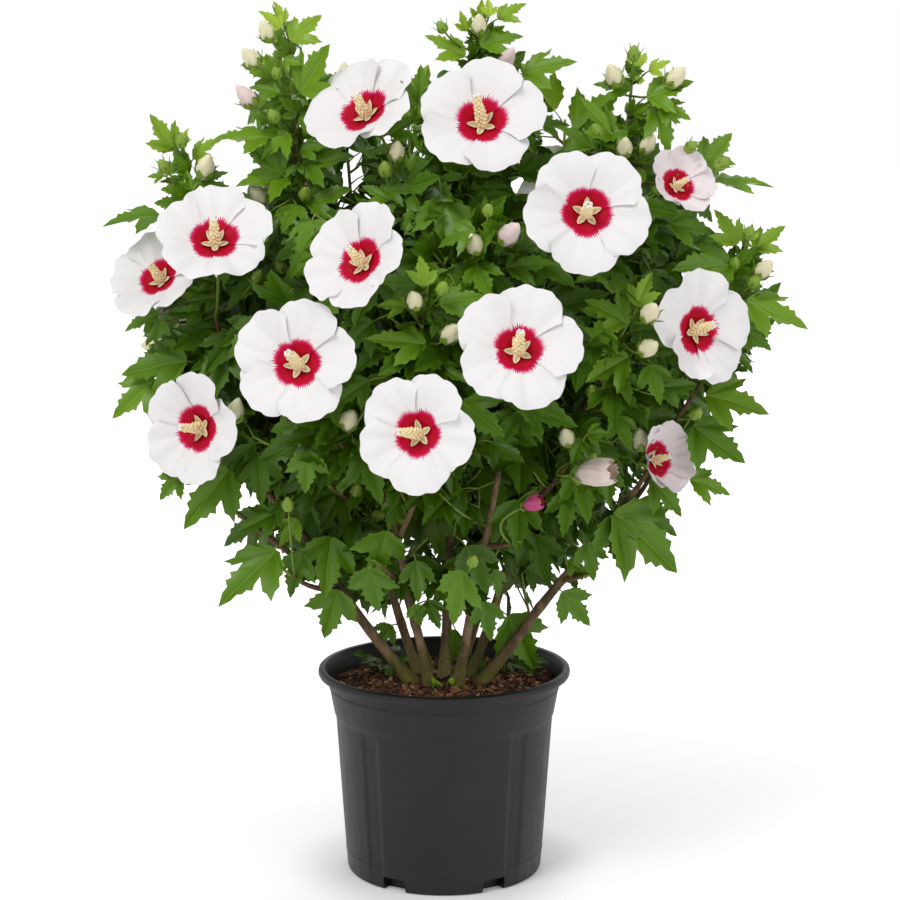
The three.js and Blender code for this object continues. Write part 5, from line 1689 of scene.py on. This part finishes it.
barkLook = {
    "roughness": 0.78, "streaks": (90, (1, 1, 0.28), 6.0, 0.62), "fine": (260, (1, 1, 0.35), 5.0, 0.6),
    "tones": ((0.28, "3a2a1a"), (0.45, "685238"), (0.58, "8a7050"), (0.74, "ac9674")),
    "footFrom": 0.176, "footTo": 0.212, "footShares": ((0.0, 0.75), (0.6, 0.3), (1.0, 0.0)), "moss": "7f8238",
    "poreSize": 420.0, "poreShares": ((0.1, 0.55), (0.22, 0.0)), "pore": "b7a585",
    "bump": 0.0006, "bumpShare": 0.8,
}


def barkMaterial():
    look = barkLook
    material = newMaterial("barkGreyBrown", Roughness=look["roughness"])
    tree, surface = material.node_tree, inputsOf(material)
    colour = rampOn(tree, noiseOn(tree, *look["streaks"]), look["tones"])
    place = placeOn(tree)
    parts = addNode(tree, "ShaderNodeSeparateXYZ", Vector=place)
    foot = rangeOn(tree, parts.outputs["Z"], From_Min=look["footFrom"], From_Max=look["footTo"])
    mossy = layOn(tree, rampOn(tree, foot, look["footShares"]), colour, look["moss"])
    pores = addNode(tree, "ShaderNodeTexVoronoi", Scale=look["poreSize"], Vector=place)
    spots = rampOn(tree, pores.outputs["Distance"], look["poreShares"])
    tree.links.new(layOn(tree, spots, mossy, look["pore"]), surface["Base Color"])
    fine = noiseOn(tree, *look["fine"])
    tree.links.new(bumpOn(tree, fine, look["bump"], look["bumpShare"]), surface["Normal"])
    return material


def addStem(name, radius, order, material):
    look, line = stemLook, stemLines[name]
    rings = int(round(line["length"] / look["ringStep"]))
    shares = np.linspace(0, 1, rings + 1)
    shape = tubeKind(look["sides"], rings)
    ring, local = shape["ring"], shape["points"]
    angle = np.arctan2(local[:, 1], local[:, 0])
    along = shares[ring] * line["length"]
    across, up = np.cos(angle) * look["ridgesRound"] + order * 7, np.sin(angle) * look["ridgesRound"]
    spots = np.stack((across, up, along * look["ridgesAlong"]), axis=1)
    relief = np.array([noise.fractal(Vector(spot), *look["ridgeDetail"]) for spot in spots])
    knots = along / look["knotEvery"] + order * 0.37
    knotPlace = (knots - np.rint(knots)) * look["knotEvery"]
    knotTurn = np.rint(knots) * golden
    oneSided = look["knotBehind"] + (1 - look["knotBehind"]) * np.maximum(0, np.cos(angle - knotTurn))
    swell = np.exp(-(knotPlace / look["knotLength"]) ** 2) * oneSided
    wide = stemRadius(radius, shares[ring]) * (1 + look["ridge"] * relief + look["knotSwell"] * swell)
    pile = newPile()
    addToPile(pile, shape, bentOnto(pointAt(line, shares), shape, wide))
    addPiece("bark_" + name, pile, [material], ["stem_" + name])


bark = barkMaterial()
for order, (name, (foot, tip, radius)) in enumerate(stems.items()):
    addStem(name, radius, order, bark)


# The pot: turned about its axis, with shallow flutes and notches round its foot

potLook = {
    "outside": (
        (0.0, 0.0), (0.0845, 0.0), (0.0867, 0.0009), (0.0875, 0.003), (0.0885, 0.0172), (0.0889, 0.0178),
        (0.0887, 0.0186), (0.097, 0.1405), (0.0974, 0.1418), (0.0983, 0.1432), (0.0987, 0.1448),
        (0.1024, 0.1652), (0.1029, 0.1657), (0.1029, 0.1666), (0.1026, 0.1672), (0.1038, 0.1745),
        (0.1046, 0.1762), (0.1062, 0.1767), (0.1098, 0.1766), (0.1116, 0.1771), (0.1124, 0.1786),
        (0.1125, 0.1804), (0.112, 0.1825), (0.1106, 0.1837), (0.1089, 0.184), (0.1071, 0.1836),
        (0.106, 0.1822)),
    "inside": (
        (0.1036, 0.1756), (0.1005, 0.166), (0.0963, 0.144), (0.095, 0.1405), (0.0868, 0.016),
        (0.0855, 0.0142), (0.0, 0.0138)),
    "steps": 288, "sideLeast": 0.03, "sideCuts": 26, "sharpFrom": 34, "fluteFrom": 0.086,
    "fluteTurns": (42, -42, 138, -138), "fluteHalf": 5.2, "fluteEase": (1.3, 0.4), "fluteDepth": 0.0013,
    "fluteFoot": 0.016, "fluteHead": 0.139, "fluteFade": (0.003, 0.003),
    "notches": 6, "notchOut": 0.0875, "notchHeight": 0.0118, "notchHalf": 0.011, "notchDeep": 0.011,
    "notchRound": 0.002,
}


# From 0 to 1 about a place, over a way before it and a way after it
def easeRound(value, place, ways):
    return easeBetween(value, place - ways[0], place + ways[1])


def potMesh():
    look = potLook
    bm = bmesh.new()
    profile = [bm.verts.new((r, 0, z)) for r, z in look["outside"] + look["inside"]]
    edges = [bm.edges.new(pair) for pair in zip(profile, profile[1:])]
    bmesh.ops.spin(bm, geom=profile + edges, cent=(0, 0, 0), axis=(0, 0, 1), angle=2 * pi,
        steps=look["steps"], use_merge=True)
    bmesh.ops.remove_doubles(bm, verts=bm.verts[:], dist=1e-5)
    bmesh.ops.recalc_face_normals(bm, faces=bm.faces[:])
    side = [e for e in bm.edges if abs(e.verts[0].co.z - e.verts[1].co.z) > look["sideLeast"]]
    bmesh.ops.subdivide_edges(bm, edges=side, cuts=look["sideCuts"], use_grid_fill=True)
    for vert in bm.verts:
        r, turn = math.hypot(vert.co.x, vert.co.y), math.degrees(math.atan2(vert.co.x, -vert.co.y))
        if r < look["fluteFrom"]:
            continue
        for middle in look["fluteTurns"]:
            off = abs((turn - middle + 180) % 360 - 180)
            across = 1 - easeRound(off, look["fluteHalf"], look["fluteEase"])
            height = easeRound(vert.co.z, look["fluteFoot"], look["fluteFade"])
            height *= 1 - easeRound(vert.co.z, look["fluteHead"], look["fluteFade"])
            inward = look["fluteDepth"] * across * height
            vert.co.x -= vert.co.x / r * inward
            vert.co.y -= vert.co.y / r * inward
    return meshFrom(bm, "pot")


def notchCutter():
    look = potLook
    bm = bmesh.new()
    for k in range(look["notches"]):
        turn = Matrix.Rotation(2 * pi * (k + 0.5) / look["notches"], 4, "Z")
        size = Matrix.Diagonal((look["notchHalf"] * 2, look["notchDeep"] * 2, look["notchHeight"] * 2, 1))
        place = Matrix.Translation((0, -look["notchOut"], 0))
        made = bmesh.ops.create_cube(bm, size=1, matrix=turn @ place @ size)
        across = turn.to_3x3() @ Vector((1, 0, 0))
        upper = []
        for edge in dict.fromkeys(e for v in made["verts"] for e in v.link_edges):
            high = min(v.co.z for v in edge.verts) > 0
            if high and abs((edge.verts[0].co - edge.verts[1].co).dot(across)) < 1e-6:
                upper.append(edge)
        bmesh.ops.bevel(bm, geom=upper, offset=look["notchRound"], segments=4, profile=0.5, affect="EDGES",
            material=-1)
    return meshFrom(bm, "notches")


potFinish = {
    "mottle": (34, (1, 1, 1), 5.0, 0.6), "tones": ((0.3, "111112"), (0.7, "19191a")),
    "scuffs": (120, (1, 1, 0.25), 6.0, 0.65), "roughness": ((0.3, 0.34), (0.75, 0.48)),
    "grain": (1500, (1, 1, 1), 2.0, 0.5), "grainDeep": 0.00012, "grainShare": 0.6,
    "flow": (60, (1, 1, 0.15), 3.0, 0.5), "flowDeep": 0.0008, "flowShare": 0.3, "shine": 0.5,
}


def potMaterial():
    look = potFinish
    material = newMaterial("potPlastic", Specular_IOR_Level=look["shine"])
    tree, surface = material.node_tree, inputsOf(material)
    tree.links.new(rampOn(tree, noiseOn(tree, *look["mottle"]), look["tones"]), surface["Base Color"])
    tree.links.new(rampOn(tree, noiseOn(tree, *look["scuffs"]), look["roughness"]), surface["Roughness"])
    lower = bumpOn(tree, noiseOn(tree, *look["flow"]), look["flowDeep"], look["flowShare"])
    grain = bumpOn(tree, noiseOn(tree, *look["grain"]), look["grainDeep"], look["grainShare"], Normal=lower)
    tree.links.new(grain, surface["Normal"])
    return material


pot = addPiece("nursery_pot", potMesh(), [potMaterial()], ["pot"])
cutter = newItem("notches", notchCutter())
cut = pot.modifiers.new("notches", "BOOLEAN")
cut.operation = "DIFFERENCE"
cut.solver = "EXACT"
cut.object = cutter
bpy.context.view_layer.update()
whole = bpy.data.meshes.new_from_object(pot.evaluated_get(bpy.context.evaluated_depsgraph_get()))
pot.modifiers.clear()
pot.data = whole
bpy.data.objects.remove(cutter)
whole.shade_smooth()
whole.set_sharp_from_angle(angle=math.radians(potLook["sharpFrom"]))
print("pot:", len(whole.polygons), "faces")


# The potting mix: an uneven bed with bark chips and crumbs on it

mixLook = {
    "radius": 0.1005, "flatRadius": 0.05, "dip": 0.003, "foot": 0.15, "footShare": 0.955,
    "rough": 0.0022, "roughSize": 42.0, "roughDetail": (0.8, 2.0, 4), "level": 0.35,
    "sides": 96, "rings": 44, "hub": 0.001,
    "tones": ((0.3, "24140b"), (0.48, "4e2f1e"), (0.62, "70452b"), (0.78, "9a6841")),
    "specks": (260, (1, 1, 1), 8.0, 0.7), "grain": (420, (1, 1, 1), 6.0, 0.7), "bump": 0.0012,
}
chipLook = {
    "chips": 2300, "crumbs": 1500, "chipSize": (0.0022, 0.0062), "crumbSize": (0.0008, 0.002), "edge": 0.0995,
    "common": 0.8, "larger": 1.5, "slender": (0.35, 0.8), "flat": (0.16, 0.4), "crumb": (1, 0.8, 0.7),
    "tilt": 0.5, "sunk": (0.05, 0.4), "darker": 1.25,
}
mixTints = ("3a2214", "553422", "70462c", "8c5c3a", "b08860", "28180e")


def mixHeight(x, y):
    low = mixLook["dip"] * easeBetween(math.hypot(x, y), mixLook["flatRadius"], mixLook["radius"])
    bumps = noise.fractal(Vector((x, y, 0.3)) * mixLook["roughSize"], *mixLook["roughDetail"])
    return mixTop - low + mixLook["rough"] * (bumps - mixLook["level"])


def mixBed():
    look = mixLook
    bm = bmesh.new()
    bmesh.ops.create_circle(bm, cap_ends=False, segments=look["sides"], radius=look["hub"])
    rim = bm.edges[:]
    bm.faces.new([v for v in bm.verts])
    for i in range(look["rings"]):
        made = bmesh.ops.extrude_edge_only(bm, edges=rim)
        rim = [e for e in made["geom"] if isinstance(e, bmesh.types.BMEdge)]
        wide = mixOf(look["hub"], look["radius"], (i + 1) / look["rings"])
        for v in dict.fromkeys(v for e in rim for v in e.verts):
            v.co = Vector((v.co.x, v.co.y, 0)).normalized() * wide
    for v in bm.verts:
        v.co.z = mixHeight(v.co.x, v.co.y)
    made = bmesh.ops.extrude_edge_only(bm, edges=rim)
    for v in made["geom"]:
        if isinstance(v, bmesh.types.BMVert):
            v.co = (v.co.x * look["footShare"], v.co.y * look["footShare"], look["foot"])
    bmesh.ops.holes_fill(bm, edges=[e for e in bm.edges if e.is_boundary], sides=0)
    bmesh.ops.recalc_face_normals(bm, faces=bm.faces[:])
    mesh = meshFrom(bm, "potting_mix")
    mesh.shade_smooth()
    return mesh


def mixMaterial():
    look = mixLook
    material = newMaterial("pottingMix", Roughness=0.95)
    tree, surface = material.node_tree, inputsOf(material)
    tree.links.new(rampOn(tree, noiseOn(tree, *look["specks"]), look["tones"]), surface["Base Color"])
    tree.links.new(bumpOn(tree, noiseOn(tree, *look["grain"]), look["bump"], 1.0), surface["Normal"])
    return material


def chipKind():
    bm = bmesh.new()
    bmesh.ops.create_cube(bm, size=2)
    for v in bm.verts:
        v.co.x *= spreadOf(0.72, 1.0, v.index, 81)
        v.co.y *= spreadOf(0.6, 1.0, v.index, 82)
    return shapeFrom(bm)


def addChips():
    look, pile, chip = chipLook, newPile(), chipKind()
    for i in range(look["chips"] + look["crumbs"]):
        isChip = i < look["chips"]
        low, high = look["chipSize"] if isChip else look["crumbSize"]
        half = spreadOf(low, high, i, 83) / 2 * (1.0 if chance(i, 84) < look["common"] else look["larger"])
        r = look["edge"] * math.sqrt(chance(i, 85)) - (half if isChip else 0)
        turn = chance(i, 86) * 2 * pi
        x, y = r * math.cos(turn), r * math.sin(turn)
        kind, stretch = ball, look["crumb"]
        if isChip:
            kind, stretch = chip, (1.0, spreadOf(*look["slender"], i, 87), spreadOf(*look["flat"], i, 88))
        heading = chance(i, 89) * 2 * pi
        tilt, lean, tip = (spreadOf(-look["tilt"], look["tilt"], i, k) for k in (90, 91, 92))
        forward = unit((math.cos(heading), math.sin(heading), tilt))
        face = squareOff(np.array((lean, tip, 1.0)), forward)
        place = np.array((x, y, mixHeight(x, y) + half * spreadOf(*look["sunk"], i, 93)))
        points = placed(kind["points"] * stretch, place, forward, face, half)
        addPlain(pile, kind, points, int(chance(i, 94) ** look["darker"] * len(mixTints)))
    materials = [plainMaterial("mixChip" + str(k), code, 0.9) for k, code in enumerate(mixTints)]
    addPiece("bark_chips", meshFromPile("bark_chips", pile, smooth=False), materials, ["soil"])


addPiece("potting_mix", mixBed(), [mixMaterial()], ["soil"])
addChips()


# Floor, light and camera

stageLook = {
    "floorSize": 80.0, "floorTint": "f7f7f7", "seen": 1.0, "worldLight": 0.5,
    "glow": {"From_Min": 0.0, "From_Max": 2.0, "To_Min": 0.24, "To_Max": 0.7},
    # The glow dimmed close round the pot's foot: a painted contact shadow
    "shade": {"From_Min": 0.09, "From_Max": 0.15, "To_Min": 0.34, "To_Max": 1.0},
    "lights": (
        {"name": "key", "place": (-1.7, -2.1, 3.1), "power": 56.0, "size": 1.5},
        {"name": "fill", "place": (2.4, -1.9, 1.9), "power": 20.0, "size": 2.2},
        {"name": "back", "place": (0.6, 2.8, 2.6), "power": 34.0, "size": 2.4},
    ),
    "aim": (0.0, 0.0, 0.42), "white": (1, 1, 1, 1),
}


# The floor glows for the camera only, more away from the pot, so that it runs into the pale room without a
# line; close round the pot's foot the glow is dimmed, which paints a contact shadow there
def floorMaterial():
    material = plainMaterial("floorPale", stageLook["floorTint"], 0.9, Specular_IOR_Level=0.1)
    tree, surface = material.node_tree, inputsOf(material)
    far = addNode(tree, "ShaderNodeVectorMath", operation="LENGTH")
    tree.links.new(placeOn(tree), far.inputs[0])
    glow = rangeOn(tree, far.outputs["Value"], **stageLook["glow"])
    # Painted contact shadow: the glow is dimmed close round the pot's foot
    shade = rangeOn(tree, far.outputs["Value"], interpolation_type="SMOOTHSTEP", **stageLook["shade"])
    seen = addNode(tree, "ShaderNodeLightPath").outputs["Is Camera Ray"]
    light = productOn(tree, productOn(tree, glow, shade), seen)
    surface["Emission Color"].default_value = stageLook["white"]
    tree.links.new(light, surface["Emission Strength"])
    return material


def addFloor():
    bm = bmesh.new()
    bmesh.ops.create_grid(bm, x_segments=1, y_segments=1, size=stageLook["floorSize"] / 2)
    mesh = meshFrom(bm, "floor")
    mesh.materials.append(floorMaterial())
    newItem("floor", mesh)


def addLights():
    for look in stageLook["lights"]:
        lamp = bpy.data.lights.new(look["name"], "AREA")
        lamp.energy = look["power"]
        lamp.size = look["size"]
        item = newItem(look["name"], lamp)
        item.location = look["place"]
        aim = Vector(stageLook["aim"]) - item.location
        item.rotation_euler = aim.to_track_quat("-Z", "Y").to_euler()


# The backdrop is seen white, and lights the plant more softly than it is seen
def addWorld():
    world = bpy.data.worlds.new("paleRoom")
    world.use_nodes = True
    tree = world.node_tree
    background = tree.nodes["Background"]
    seen = addNode(tree, "ShaderNodeLightPath").outputs["Is Camera Ray"]
    strength = rangeOn(tree, seen, To_Min=stageLook["worldLight"], To_Max=stageLook["seen"])
    tree.links.new(strength, background.inputs["Strength"])
    background.inputs["Color"].default_value = stageLook["white"]
    bpy.context.scene.world = world


def addCamera():
    camera = bpy.data.cameras.new("camera")
    camera.sensor_width = 36.0
    camera.lens = camera.sensor_width * focalPixels / photoCamera["frame"]
    item = newItem("camera", camera)
    item.location = photoCamera["place"]
    item.rotation_euler = (math.radians(90 - photoCamera["pitchDown"]), 0, 0)
    bpy.context.scene.camera = item


addFloor()
addLights()
addWorld()
addCamera()
bpy.context.scene.view_settings.view_transform = "Standard"
print("stage, lights and camera set")
